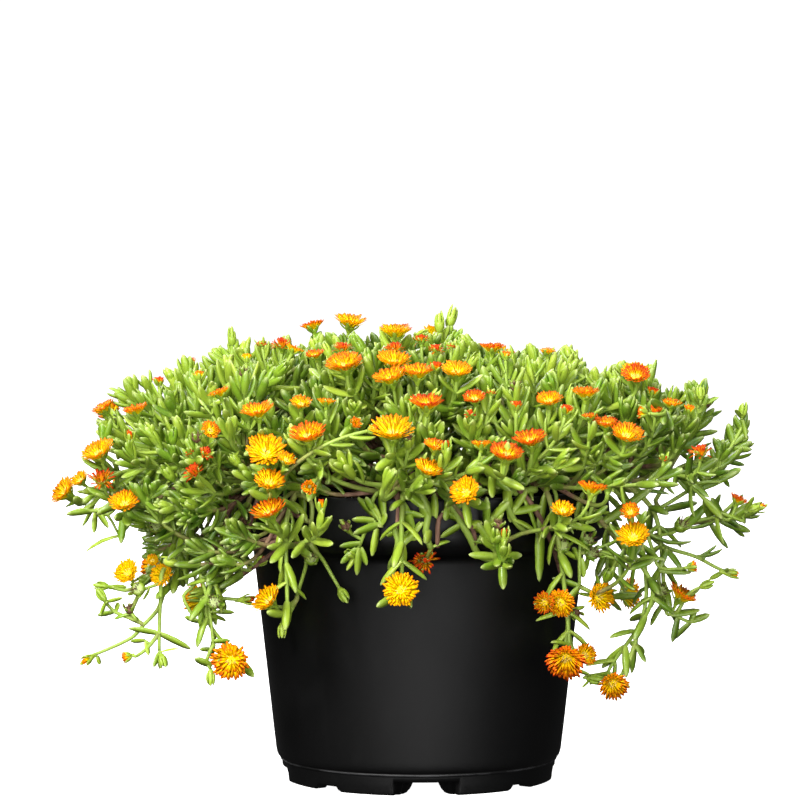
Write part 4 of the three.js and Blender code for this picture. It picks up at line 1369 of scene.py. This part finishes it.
def make_plant(looks):
    blooms = grow_plant()
    in_view = flowers_in_view(blooms)
    for i, shape in enumerate(plant.shapes):
        add_leaves(shape, kept_leaves(plant.leaves[i].table(), in_view), LEAF)
        name = f"{i + 1:02d}"
        piece = shape.build(f"foliage_{name}", [looks["leaf"], looks["stem"]])
        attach(piece, "root")
        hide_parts(f"shoot_{name}")
    flower_looks = [looks["petal"], looks["leaf"], looks["stamen"], looks["dry"]]
    for i, (x, y, z, _, _, width, _) in enumerate(SHOOTS):
        shape = Shape()
        usual = float(rng.uniform(0.25, 0.6))
        add_flower(shape, np.array([x, y, z], float), plant.axes[i], width, WARMTH.get(i, usual), "open",
                   rng.uniform(0.3, 0.7))
        name = f"{i + 1:02d}"
        piece = shape.build(f"bloom_{name}", flower_looks)
        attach(piece, "root")
        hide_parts(f"flower_{name}")
    sectors = [Shape() for _ in range(SECTORS)]
    for foot, axis, width, warmth, state in blooms:
        sector = int((math.atan2(foot[1], foot[0]) + math.pi) / (2 * math.pi) * (SECTORS - 0.001))
        add_flower(sectors[sector], foot, axis, width, warmth, state, rng.uniform(0.25, 0.75))
    for i, shape in enumerate(sectors):
        if shape.count:
            piece = shape.build(f"more_blooms_{i + 1:02d}", flower_looks)
            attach(piece, "root")


# The pot
BASE_TURN = math.radians(3)
NOTCH_OUTER, NOTCH_INNER, NOTCH_HEIGHT = 46, 17, 10
NOTCH_ROUNDING = 6.5
RECESS_WIDTH, RECESS_HEIGHT = 21, 4
FOOT_INNER, FOOT_OUTER = 88, 99.5
HOLE_RING, HOLE_RADIUS = 76, 7
POT_PROFILE = [
    (0.1, 0.4), (16.5, 0.4), (17.8, 1), (19.4, 8.6), (20.6, 10), (86.2, 10), (87.6, 9.2), (88, 7.5),
    (88, 5), (88.1, 2.5), (88.6, 0.4), (89.6, 0), (94, 0), (98.3, 0), (99.2, 0.3), (99.6, 1.2), (99.9, 3),
    (100.4, 5.5), (100.9, 8.5), (101.2, 13.4), (101.3, 14.2), (102.3, 14.5), (102.5, 15), (102.3, 15.5),
    (102, 16.2), (103.2, 16.7), (104.2, 17.8), (104.9, 19.6), (105.4, 21.8), (105.8, 25), (107.6, 40),
    (110.5, 66), (113.4, 92), (116.3, 118), (119.2, 143), (121.3, 161), (122.2, 168.6), (122.6, 171.2),
    (123.6, 172.9), (125.4, 173.8), (129, 174.9), (132.6, 176.2), (135.6, 178.2), (137.9, 180.9),
    (139.4, 184), (140.3, 187.6), (140.5, 191), (140.5, 203), (140.5, 213.6), (140.5, 215.2),
    (140.2, 216.3), (139.7, 216.9), (139.2, 217), (138.7, 216.8), (138.4, 216.2), (138.3, 214),
    (138.3, 200), (138.2, 190.5), (137.4, 186.6), (135.6, 183.4), (132.8, 180.6), (128.3, 177.4),
    (122.6, 175.4), (120.6, 173.6), (120, 170), (116, 130), (110, 75), (103.6, 23.4), (102.6, 17),
    (100.8, 13.2), (97, 12.2), (60, 12.2), (0.1, 12.2),
]


def cut_height(radius, angle):
    """How high the foot ring is cut away from below, by its notches and recesses."""
    quarter = math.pi / 2
    flare = np.clip((radius - FOOT_INNER) / (FOOT_OUTER - FOOT_INNER), -0.3, 1.2)
    notch_half = (NOTCH_INNER + (NOTCH_OUTER - NOTCH_INNER) * flare) / 2
    off = np.abs((angle - BASE_TURN + quarter / 2) % quarter - quarter / 2) * radius
    rounding = 1 + NOTCH_ROUNDING * np.clip(1 - 1.4 * flare, 0, 1)
    notch = np.clip(1 - (off - notch_half) / rounding, 0, 1) ** np.where(rounding > 2, 2.2, 1)
    off = np.abs((angle - BASE_TURN) % quarter - quarter / 2) * radius
    recess = np.clip((RECESS_WIDTH / 2 + 1.2 - off) / 2.4, 0, 1)
    ring = (radius > FOOT_INNER - 2.5) & (radius < FOOT_OUTER + 2.2)
    return np.where(ring, np.maximum(notch * NOTCH_HEIGHT, recess * RECESS_HEIGHT), 0)


def pot_angles():
    """Directions round the pot, close together at the edges of its notches."""
    edges = [math.degrees(width / 2 / radius)
             for width, radius in ((NOTCH_INNER, FOOT_INNER), (NOTCH_OUTER, FOOT_OUTER))]
    near = [edge + off for edge in edges for off in (-0.6, -0.3, 0.3, 0.6)]
    near += [edges[0] + off for off in (1.0, 1.8, 2.6, 3.4)]
    fine = [step * 90 / 72 for step in range(72)] + near + [90 - angle for angle in near]
    quarter = np.unique(np.round(fine, 3))
    return np.radians(np.concatenate([quarter + 90 * turn for turn in range(4)])) + BASE_TURN


def drill_holes(pot, look):
    """The four drain holes in the raised floor, one in the middle of each notch."""
    for quarter in range(4):
        place = polar(HOLE_RING, BASE_TURN + quarter * math.pi / 2, 4)
        drill = Shape()
        add_turned(drill, place, UP, [(HOLE_RADIUS, z) for z in (0, 4, 9, 14)], 24, 0, 0.5, 0.5)
        tool = drill.build("drill", [look])
        cut = pot.modifiers.new("hole", "BOOLEAN")
        cut.operation, cut.object, cut.solver = "DIFFERENCE", tool, "EXACT"
        graph = bpy.context.evaluated_depsgraph_get()
        holed = bpy.data.meshes.new_from_object(pot.evaluated_get(graph))
        pot.modifiers.clear()
        pot.data = holed
        bpy.data.objects.remove(tool)


def make_pot(look):
    profile = np.array(POT_PROFILE, float)
    angles = pot_angles()
    radius, z = profile[:, 0, None], profile[:, 1, None]
    height = np.where(z < NOTCH_HEIGHT + 0.01, np.maximum(z, cut_height(radius, angles[None])), z)
    points = np.stack([radius * np.cos(angles), radius * np.sin(angles), height], -1).reshape(-1, 3)
    points = np.concatenate([points, [[0, 0, POT_PROFILE[0][1]], [0, 0, POT_PROFILE[-1][1]]]])
    shape = Shape()
    shape.add(points, (0.5, 0.5, 0.5), ring_quads(len(profile), len(angles)),
              end_faces(len(profile), len(angles)), 0)
    pot = shape.build("pot_body", [look])
    drill_holes(pot, look)
    pot.data.shade_smooth()
    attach(pot, "root")
    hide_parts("pot")


# The soil and the crown
def bumps(x, y, scale, seed):
    """A smooth uneven height between about -1 and 1."""
    local = np.random.default_rng(seed)
    total = np.zeros_like(x, float)
    for _ in range(9):
        angle, phase = local.uniform(0, 2 * math.pi), local.uniform(0, 2 * math.pi)
        pitch = scale * local.uniform(0.6, 1.7)
        total += np.sin((x * math.cos(angle) + y * math.sin(angle)) * 2 * math.pi / pitch + phase)
    return total / 4


def crumb(shape, place, size, look, flat):
    """A rough grain: an octahedron with each face split, then pushed about."""
    corners = np.vstack([np.eye(3), -np.eye(3)])
    faces = [(0, 1, 2), (1, 3, 2), (3, 4, 2), (4, 0, 2), (1, 0, 5), (3, 1, 5), (4, 3, 5), (0, 4, 5)]
    points, known, tris = list(corners), {}, []

    def middle(a, b):
        key = (min(a, b), max(a, b))
        if key not in known:
            known[key] = len(points)
            points.append(unit(points[a] + points[b]))
        return known[key]

    for a, b, c in faces:
        ab, bc, ca = middle(a, b), middle(b, c), middle(c, a)
        tris += [(a, ab, ca), (ab, b, bc), (ca, bc, c), (ab, bc, ca)]
    points = np.array(points) * rng.uniform(0.72, 1.15, (len(points), 1)) * size / 2
    points *= np.array([1.0, rng.uniform(0.5, 0.9), flat])
    turn = np.linalg.qr(rng.normal(0, 1, (3, 3)))[0]
    if np.linalg.det(turn) < 0:
        turn[:, 0] *= -1
    if flat < 0.6:
        lean = rng.normal(0, 0.35, 2)
        spin = rng.uniform(0, 2 * math.pi)
        normal = unit(np.array([lean[0], lean[1], 1.0]))
        across = square_to(normal, polar(1, spin, 0))
        turn = np.stack([across, np.cross(normal, across), normal])
    shape.add(points @ turn + place, (rng.uniform(), 0.5, rng.uniform()), [], tris, look)


def soil_height(x, y):
    radius = np.hypot(x, y)
    smooth = np.interp(radius, [0, 84, 138], [SOIL_CENTRE, SOIL_EDGE + 4, SOIL_EDGE])
    return smooth + 1.3 * bumps(x, y, 34, 3) + 0.8 * bumps(x, y, 11, 4)


CRUMBS = 620
CRUMBS_FROM, CRUMBS_TO = 28, 136.8
# The soil block's side and underside, inside the pot, as radius and height
SOIL_UNDER = [(137.6, 188.4), (134.2, 181.4), (128.0, 177.9), (119.7, 174.4), (103.0, 22.4),
              (101.0, 12.8), (2.0, 12.8)]


def make_soil(looks):
    shape = Shape()
    sides, rings = 120, np.concatenate([[2.0], np.arange(6, 137, 4.0), [137.6]])
    angles = np.arange(sides) / sides * 2 * math.pi
    x, y = rings[:, None] * np.cos(angles), rings[:, None] * np.sin(angles)
    top = np.stack([x, y, soil_height(x, y)], -1)
    lower = np.stack([np.stack([r * np.cos(angles), r * np.sin(angles), np.full(sides, h)], -1)
                      for r, h in SOIL_UNDER])
    points = np.concatenate([top, lower]).reshape(-1, 3)
    points = np.concatenate([points, [[0, 0, SOIL_CENTRE], [0, 0, SOIL_UNDER[-1][1]]]])
    count = len(rings) + len(SOIL_UNDER)
    shape.add(points, (0.5, 0.5, 0.5), ring_quads(count, sides)[:, ::-1],
              np.array(end_faces(count, sides))[:, ::-1], 0)
    for i in range(CRUMBS):
        radius, angle = 136 * math.sqrt(rng.uniform(0.03, 0.97)), rng.uniform(0, 2 * math.pi)
        if radius < CRUMBS_FROM:
            continue
        place = polar(radius, angle, 0)
        place[2] = soil_height(place[0], place[1])
        if i % 4 == 0:
            size = rng.uniform(1.8, 4.2)
            look, flat = 2, 0.9
        else:
            size = rng.uniform(3.0, 9.5)
            look, flat = 1, rng.uniform(0.25, 0.5)
        if radius + size / 2 > CRUMBS_TO:
            continue
        crumb(shape, place + UP * size * 0.08, size, look, flat)
    piece = shape.build("soil_block", [looks["soil"], looks["bark"], looks["perlite"]])
    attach(piece, "root")
    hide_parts("soil")


def make_crown(look):
    """The woody knob that the shoots grow from, ridged and lumpy, with stubs of old shoots."""
    shape = Shape()
    outline = [(0.5, 166.6), (9, 172), (15, 182), (20, 190), (23, 198), (24.6, 204), (24.4, 208), (22, 212),
               (18.5, 215), (13, 217.5), (8, 219), (3, 219.8), (0.5, 220)]
    count, sides = len(outline), 40
    angles = np.arange(sides) / sides * 2 * math.pi
    rings = []
    for radius, z in outline:
        lumps = 1 + 0.07 * np.sin(angles * 5 + z * 0.13) + 0.05 * np.sin(angles * 11 + 1.7)
        lumps += 0.03 * np.sin(z + 3 * angles)
        wide = radius * np.minimum(lumps, 1.12) * 0.93
        rings.append(np.stack([wide * np.cos(angles), wide * np.sin(angles),
                               np.full(sides, z) + 0.6 * np.sin(angles * 7 + radius)], -1))
    points = np.concatenate([*rings, [[0, 0, outline[0][1]], [0, 0, outline[-1][1]]]])
    shape.add(points, (0.5, 0.4, 1.0), ring_quads(count, sides), end_faces(count, sides), 0)
    for _ in range(14):
        angle, z = rng.uniform(0, 2 * math.pi), rng.uniform(205, 215)
        foot = polar(15, angle, z)
        out = unit(polar(1, angle, rng.uniform(0.1, 0.8)))
        length = rng.uniform(9, 15)
        line = np.array([foot + out * length * k / 4 for k in range(5)])
        add_tube(shape, line, [2.6, 2.4, 2.2, 2.1, 1.7], (rng.uniform(0, 1), 1, 1), 0, sides=9)
    piece = shape.build("woody_crown", [look])
    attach(piece, "root")
    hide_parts("root_crown")


# Materials
class Look:
    """A material and short ways to add nodes to it."""

    def __init__(self, name, roughness=0.5, specular=0.5):
        self.material = bpy.data.materials.new(name)
        self.material.use_nodes = True
        self.nodes = self.material.node_tree.nodes
        self.links = self.material.node_tree.links
        self.shader = self.nodes["Principled BSDF"]
        self.shader.inputs["Roughness"].default_value = roughness
        self.shader.inputs["Specular IOR Level"].default_value = specular

    def node(self, kind, **settings):
        node = self.nodes.new(kind)
        for key, value in settings.items():
            setattr(node, key, value)
        return node

    def feed(self, socket, value):
        if isinstance(value, bpy.types.NodeSocket):
            self.links.new(value, socket)
        elif isinstance(value, tuple) and len(value) == 3:
            socket.default_value = (*value, 1) if len(socket.default_value) == 4 else value
        else:
            socket.default_value = value

    def place(self, stretch=(1, 1, 1)):
        coordinate = self.node("ShaderNodeTexCoord").outputs["Object"]
        if stretch == (1, 1, 1):
            return coordinate
        mapping = self.node("ShaderNodeMapping")
        self.feed(mapping.inputs["Vector"], coordinate)
        self.feed(mapping.inputs["Scale"], stretch)
        return mapping.outputs["Vector"]

    def height(self):
        parts = self.node("ShaderNodeSeparateXYZ")
        self.feed(parts.inputs["Vector"], self.place())
        return parts.outputs["Z"]

    def noise(self, scale, detail=3.0, stretch=(1, 1, 1), distortion=0.0):
        node = self.node("ShaderNodeTexNoise")
        self.feed(node.inputs["Vector"], self.place(stretch))
        self.feed(node.inputs["Scale"], scale)
        self.feed(node.inputs["Detail"], detail)
        self.feed(node.inputs["Distortion"], distortion)
        return node.outputs["Fac"]

    def cells(self, scale):
        node = self.node("ShaderNodeTexVoronoi")
        self.feed(node.inputs["Vector"], self.place())
        self.feed(node.inputs["Scale"], scale)
        return node.outputs["Distance"]

    def growth(self):
        """How far along its part a point is, the part's tone, and its age, which for some leaves also holds
        painted shade.
        """
        split = self.node("ShaderNodeSeparateColor")
        self.feed(split.inputs[0], self.node("ShaderNodeAttribute", attribute_name="growth").outputs["Color"])
        return split.outputs[0], split.outputs[1], split.outputs[2]

    def sum(self, kind, a, b):
        node = self.node("ShaderNodeMath", operation=kind)
        self.feed(node.inputs[0], a)
        self.feed(node.inputs[1], b)
        return node.outputs[0]

    def span(self, value, low, high, to_low=0.0, to_high=1.0):
        node = self.node("ShaderNodeMapRange")
        for socket, part in zip(node.inputs, (value, low, high, to_low, to_high)):
            self.feed(socket, part)
        return node.outputs[0]

    def mix(self, share, a, b):
        node = self.node("ShaderNodeMix", data_type="RGBA")
        self.feed(node.inputs["Factor"], share)
        self.feed(node.inputs[6], a)
        self.feed(node.inputs[7], b)
        return node.outputs[2]

    def ramp(self, value, stops):
        node = self.node("ShaderNodeValToRGB")
        elements = node.color_ramp.elements
        while len(elements) < len(stops):
            elements.new(0.5)
        for element, (at, colour) in zip(elements, stops):
            element.position = at
            element.color = (*colour, 1)
        self.feed(node.inputs["Fac"], value)
        return node.outputs["Color"]

    def colour(self, value):
        self.feed(self.shader.inputs["Base Color"], value)

    def rough(self, value):
        self.feed(self.shader.inputs["Roughness"], value)

    def bump(self, height, strength, distance):
        node = self.node("ShaderNodeBump")
        self.feed(node.inputs["Height"], height)
        self.feed(node.inputs["Strength"], strength)
        self.feed(node.inputs["Distance"], distance)
        self.links.new(node.outputs["Normal"], self.shader.inputs["Normal"])


def leaf_look():
    look = Look("leaf_skin", 0.36, 0.42)
    along, tone, age = look.growth()
    young = look.mix(tone, (0.150, 0.312, 0.010), (0.435, 0.568, 0.048))
    # The old colour is darker; through the age value it also carries painted shade on the plant's right side,
    # low down and deep inside.
    old = look.mix(tone, (0.050, 0.130, 0.007), (0.140, 0.255, 0.015))
    base = look.mix(age, young, old)
    patches = look.span(look.noise(55, 2), 0.35, 0.65)
    base = look.mix(look.sum("MULTIPLY", patches, 0.25), base, (0.40, 0.48, 0.06))
    foot = look.span(along, 0.30, 0.0, 0.0, 0.5)
    base = look.mix(foot, base, (0.40, 0.51, 0.11))
    tip = look.span(along, 0.78, 1.0, 0.0, 0.5)
    base = look.mix(tip, base, (0.52, 0.57, 0.24))
    dots = look.span(look.cells(1250), 0.0, 0.32, 0.16, 0.0)
    base = look.mix(dots, base, (0.56, 0.62, 0.28))
    look.colour(base)
    look.rough(look.span(look.noise(420, 2), 0.3, 0.7, 0.26, 0.40))
    look.bump(look.cells(1250), 0.25, 0.0002)
    return look.material


def stem_look():
    look = Look("stem_skin", 0.5, 0.3)
    _, tone, age = look.growth()
    green = look.mix(tone, (0.22, 0.35, 0.035), (0.36, 0.48, 0.09))
    streaks = look.noise(260, 3, (1, 1, 0.25))
    bark = look.mix(look.span(streaks, 0.35, 0.65), (0.125, 0.058, 0.040), (0.290, 0.160, 0.105))
    share = look.span(look.sum("ADD", age, look.sum("MULTIPLY", look.noise(90, 2), 0.3)), 0.45, 0.80)
    look.colour(look.mix(share, green, bark))
    look.rough(look.span(share, 0, 1, 0.40, 0.72))
    look.bump(streaks, 0.35, 0.0006)
    return look.material


def petal_look():
    look = Look("petal_silk", 0.5, 0.12)
    along, tone, age = look.growth()
    end = look.sum("POWER", along, 1.9)
    heat = look.sum("ADD", look.sum("MULTIPLY", end, 0.68), look.sum("MULTIPLY", tone, 0.45))
    heat = look.sum("ADD", heat, look.span(look.noise(420, 2), 0.3, 0.7, -0.08, 0.08))
    colour = look.ramp(heat, [(0.0, (1.0, 0.76, 0.0)), (0.38, (0.98, 0.63, 0.0)), (0.61, (0.96, 0.40, 0.0)),
                              (0.80, (0.92, 0.165, 0.003)), (1.0, (0.60, 0.028, 0.006))])
    faded = look.span(age, 0.55, 1.0, 0.0, 0.5)
    look.colour(look.mix(faded, colour, (0.46, 0.020, 0.010)))
    look.rough(look.span(look.noise(900, 2), 0.3, 0.7, 0.42, 0.6))
    look.bump(look.noise(1500, 2), 0.2, 0.0001)
    return look.material


def stamen_look():
    look = Look("stamen_tuft", 0.6, 0.2)
    along, _, age = look.growth()
    thread = look.mix(along, (0.95, 0.66, 0.06), (1.0, 0.74, 0.18))
    thread = look.mix(look.span(look.noise(800, 2), 0.3, 0.7, 0, 0.4), thread, (1.0, 0.86, 0.42))
    look.colour(look.mix(age, thread, (0.10, 0.06, 0.02)))
    return look.material


def dry_look():
    look = Look("dried_flower", 0.75, 0.2)
    _, tone, _ = look.growth()
    brown = look.mix(tone, (0.045, 0.024, 0.014), (0.15, 0.075, 0.04))
    look.colour(look.mix(look.span(look.noise(600, 3), 0.35, 0.65, 0, 0.8), brown, (0.22, 0.13, 0.07)))
    look.bump(look.noise(900, 3), 0.5, 0.0003)
    return look.material


def pot_look():
    look = Look("black_plastic", 0.45, 0.28)
    flow = look.noise(9, 3, (1, 1, 0.25), 0.6)
    fine = look.noise(700, 2)
    black = look.mix(look.span(flow, 0.35, 0.65), (0.0015, 0.0015, 0.0016), (0.0027, 0.0027, 0.0028))
    # Painted highlight: thin lighter lines, broken by noise, along the ledge above the foot and along the
    # rim's top edge, where light catches those edges.
    height = look.height()
    ledge = look.sum("MULTIPLY", look.span(height, 0.0138, 0.0144, 0, 1),
                     look.span(height, 0.0152, 0.0158, 1, 0))
    painted_edge_highlight = look.sum("ADD", ledge, look.span(height, 0.2160, 0.2166, 0, 1))
    painted_edge_highlight = look.sum("MULTIPLY", painted_edge_highlight, look.span(look.noise(45, 3), 0.40, 0.62, 0.10, 1.0))
    look.colour(look.mix(painted_edge_highlight, black, (0.040, 0.040, 0.042)))
    scuffs = look.span(look.noise(42, 5, (1, 1, 0.5), 0.4), 0.56, 0.72, 0.0, 0.07)
    look.rough(look.sum("ADD", look.span(fine, 0.3, 0.7, 0.42, 0.48), scuffs))
    look.bump(look.sum("ADD", look.sum("MULTIPLY", fine, 0.25), flow), 0.12, 0.0007)
    return look.material


def soil_look():
    look = Look("potting_mix", 0.95, 0.15)
    grains = look.noise(380, 4)
    wet = look.span(look.noise(26, 2), 0.35, 0.65)
    earth = look.mix(look.span(grains, 0.3, 0.7), (0.012, 0.008, 0.006), (0.075, 0.045, 0.028))
    look.colour(look.mix(look.sum("MULTIPLY", wet, 0.5), earth, (0.020, 0.012, 0.008)))
    look.bump(grains, 0.9, 0.0022)
    return look.material


def bark_look():
    look = Look("bark_chips", 0.88, 0.2)
    fibre = look.noise(330, 3, (1, 0.3, 1))
    shade = look.growth()[0]
    brown = look.mix(shade, (0.050, 0.026, 0.016), (0.170, 0.090, 0.052))
    look.colour(look.mix(look.span(fibre, 0.35, 0.65, 0, 0.6), brown, (0.025, 0.014, 0.010)))
    look.bump(fibre, 0.6, 0.0012)
    return look.material


def perlite_look():
    look = Look("perlite", 0.9, 0.2)
    look.colour(look.mix(look.span(look.noise(800, 3), 0.4, 0.7), (0.72, 0.70, 0.64), (0.40, 0.37, 0.32)))
    look.bump(look.noise(1200, 3), 0.6, 0.0005)
    return look.material


def crown_look():
    look = Look("crown_bark", 0.85, 0.25)
    rings = look.noise(120, 4, (1, 1, 0.4), 0.5)
    brown = look.mix(look.span(rings, 0.3, 0.7), (0.060, 0.034, 0.026), (0.240, 0.150, 0.110))
    look.colour(look.mix(look.span(look.noise(40, 2), 0.45, 0.6, 0, 0.4), brown, (0.30, 0.21, 0.16)))
    look.bump(rings, 0.8, 0.0025)
    return look.material


# Stage and light
WORLD_LIGHT, MIRRORED_LIGHT, FLOOR_GLOW = 0.10, 0.05, 1.05
# Lamps in metres and watts: name, place, height of what it aims at, size, power, colour
LAMPS = [
    ("key", (-1.7, -2.5, 2.6), 0.22, 1.3, 208, (1, 0.985, 0.96)),
    ("fill", (0.25, -3.3, 0.60), 0.16, 2.9, 66, (1, 1, 1)),
    ("fill_left", (-1.35, -3.1, 0.60), 0.16, 1.8, 34, (1, 1, 1)),
    ("fill_right", (1.55, -3.0, 0.60), 0.16, 1.8, 34, (1, 1, 1)),
    ("back", (-1.3, 2.9, 1.4), 0.16, 1.8, 60, (1, 1, 1)),
    ("top", (0.2, 0.5, 3.0), 0.2, 2.2, 74, (1, 1, 1)),
]


def make_stage():
    mesh = bpy.data.meshes.new("floor")
    mesh.from_pydata([(-60, -60, 0), (60, -60, 0), (60, 60, 0), (-60, 60, 0)], [], [(0, 1, 2, 3)])
    look = Look("pale_floor", 0.9, 0.0)
    look.colour(look.mix(look.span(look.noise(3, 2), 0.3, 0.7), (0.86, 0.86, 0.86), (0.88, 0.88, 0.88)))
    look.shader.inputs["Emission Color"].default_value = (1, 1, 1, 1)
    look.shader.inputs["Emission Strength"].default_value = FLOOR_GLOW
    mesh.materials.append(look.material)
    floor = bpy.data.objects.new("floor", mesh)
    bpy.context.scene.collection.objects.link(floor)
    floor.visible_diffuse = False
    floor.visible_glossy = False


def make_lamp(name, place, aim, size, power, colour):
    data = bpy.data.lights.new(name, "AREA")
    data.shape = "DISK"
    data.size = size
    data.energy = power
    data.color = colour
    lamp = bpy.data.objects.new(name, data)
    lamp.location = place
    x, y, z = UP * aim - np.array(place, float)
    lamp.rotation_euler = (math.atan2(math.hypot(x, y), -z), 0, math.atan2(y, x) - math.pi / 2)
    bpy.context.scene.collection.objects.link(lamp)


def make_light():
    world = bpy.data.worlds.new("studio")
    world.use_nodes = True
    nodes, links = world.node_tree.nodes, world.node_tree.links
    seen_by_camera = nodes.new("ShaderNodeBackground")
    seen_by_camera.inputs["Color"].default_value = (1, 1, 1, 1)
    seen_by_camera.inputs["Strength"].default_value = 1.1
    around = nodes["Background"]
    around.inputs["Color"].default_value = (1, 1, 0.98, 1)
    around.inputs["Strength"].default_value = WORLD_LIGHT
    mirrored = nodes.new("ShaderNodeBackground")
    mirrored.inputs["Strength"].default_value = MIRRORED_LIGHT
    path = nodes.new("ShaderNodeLightPath")
    soften = nodes.new("ShaderNodeMixShader")
    links.new(path.outputs["Is Glossy Ray"], soften.inputs[0])
    links.new(around.outputs[0], soften.inputs[1])
    links.new(mirrored.outputs[0], soften.inputs[2])
    pick = nodes.new("ShaderNodeMixShader")
    links.new(path.outputs["Is Camera Ray"], pick.inputs[0])
    links.new(soften.outputs[0], pick.inputs[1])
    links.new(seen_by_camera.outputs[0], pick.inputs[2])
    links.new(pick.outputs[0], nodes["World Output"].inputs["Surface"])
    bpy.context.scene.world = world
    for lamp in LAMPS:
        make_lamp(*lamp)


scene = bpy.context.scene
scene.view_settings.view_transform = "Standard"
scene.view_settings.look = "None"
make_camera()
make_stage()
make_light()
looks = {"leaf": leaf_look(), "stem": stem_look(), "petal": petal_look(), "stamen": stamen_look(),
         "dry": dry_look(), "soil": soil_look(), "bark": bark_look(), "perlite": perlite_look()}
make_pot(pot_look())
make_soil(looks)
make_crown(crown_look())
make_plant(looks)
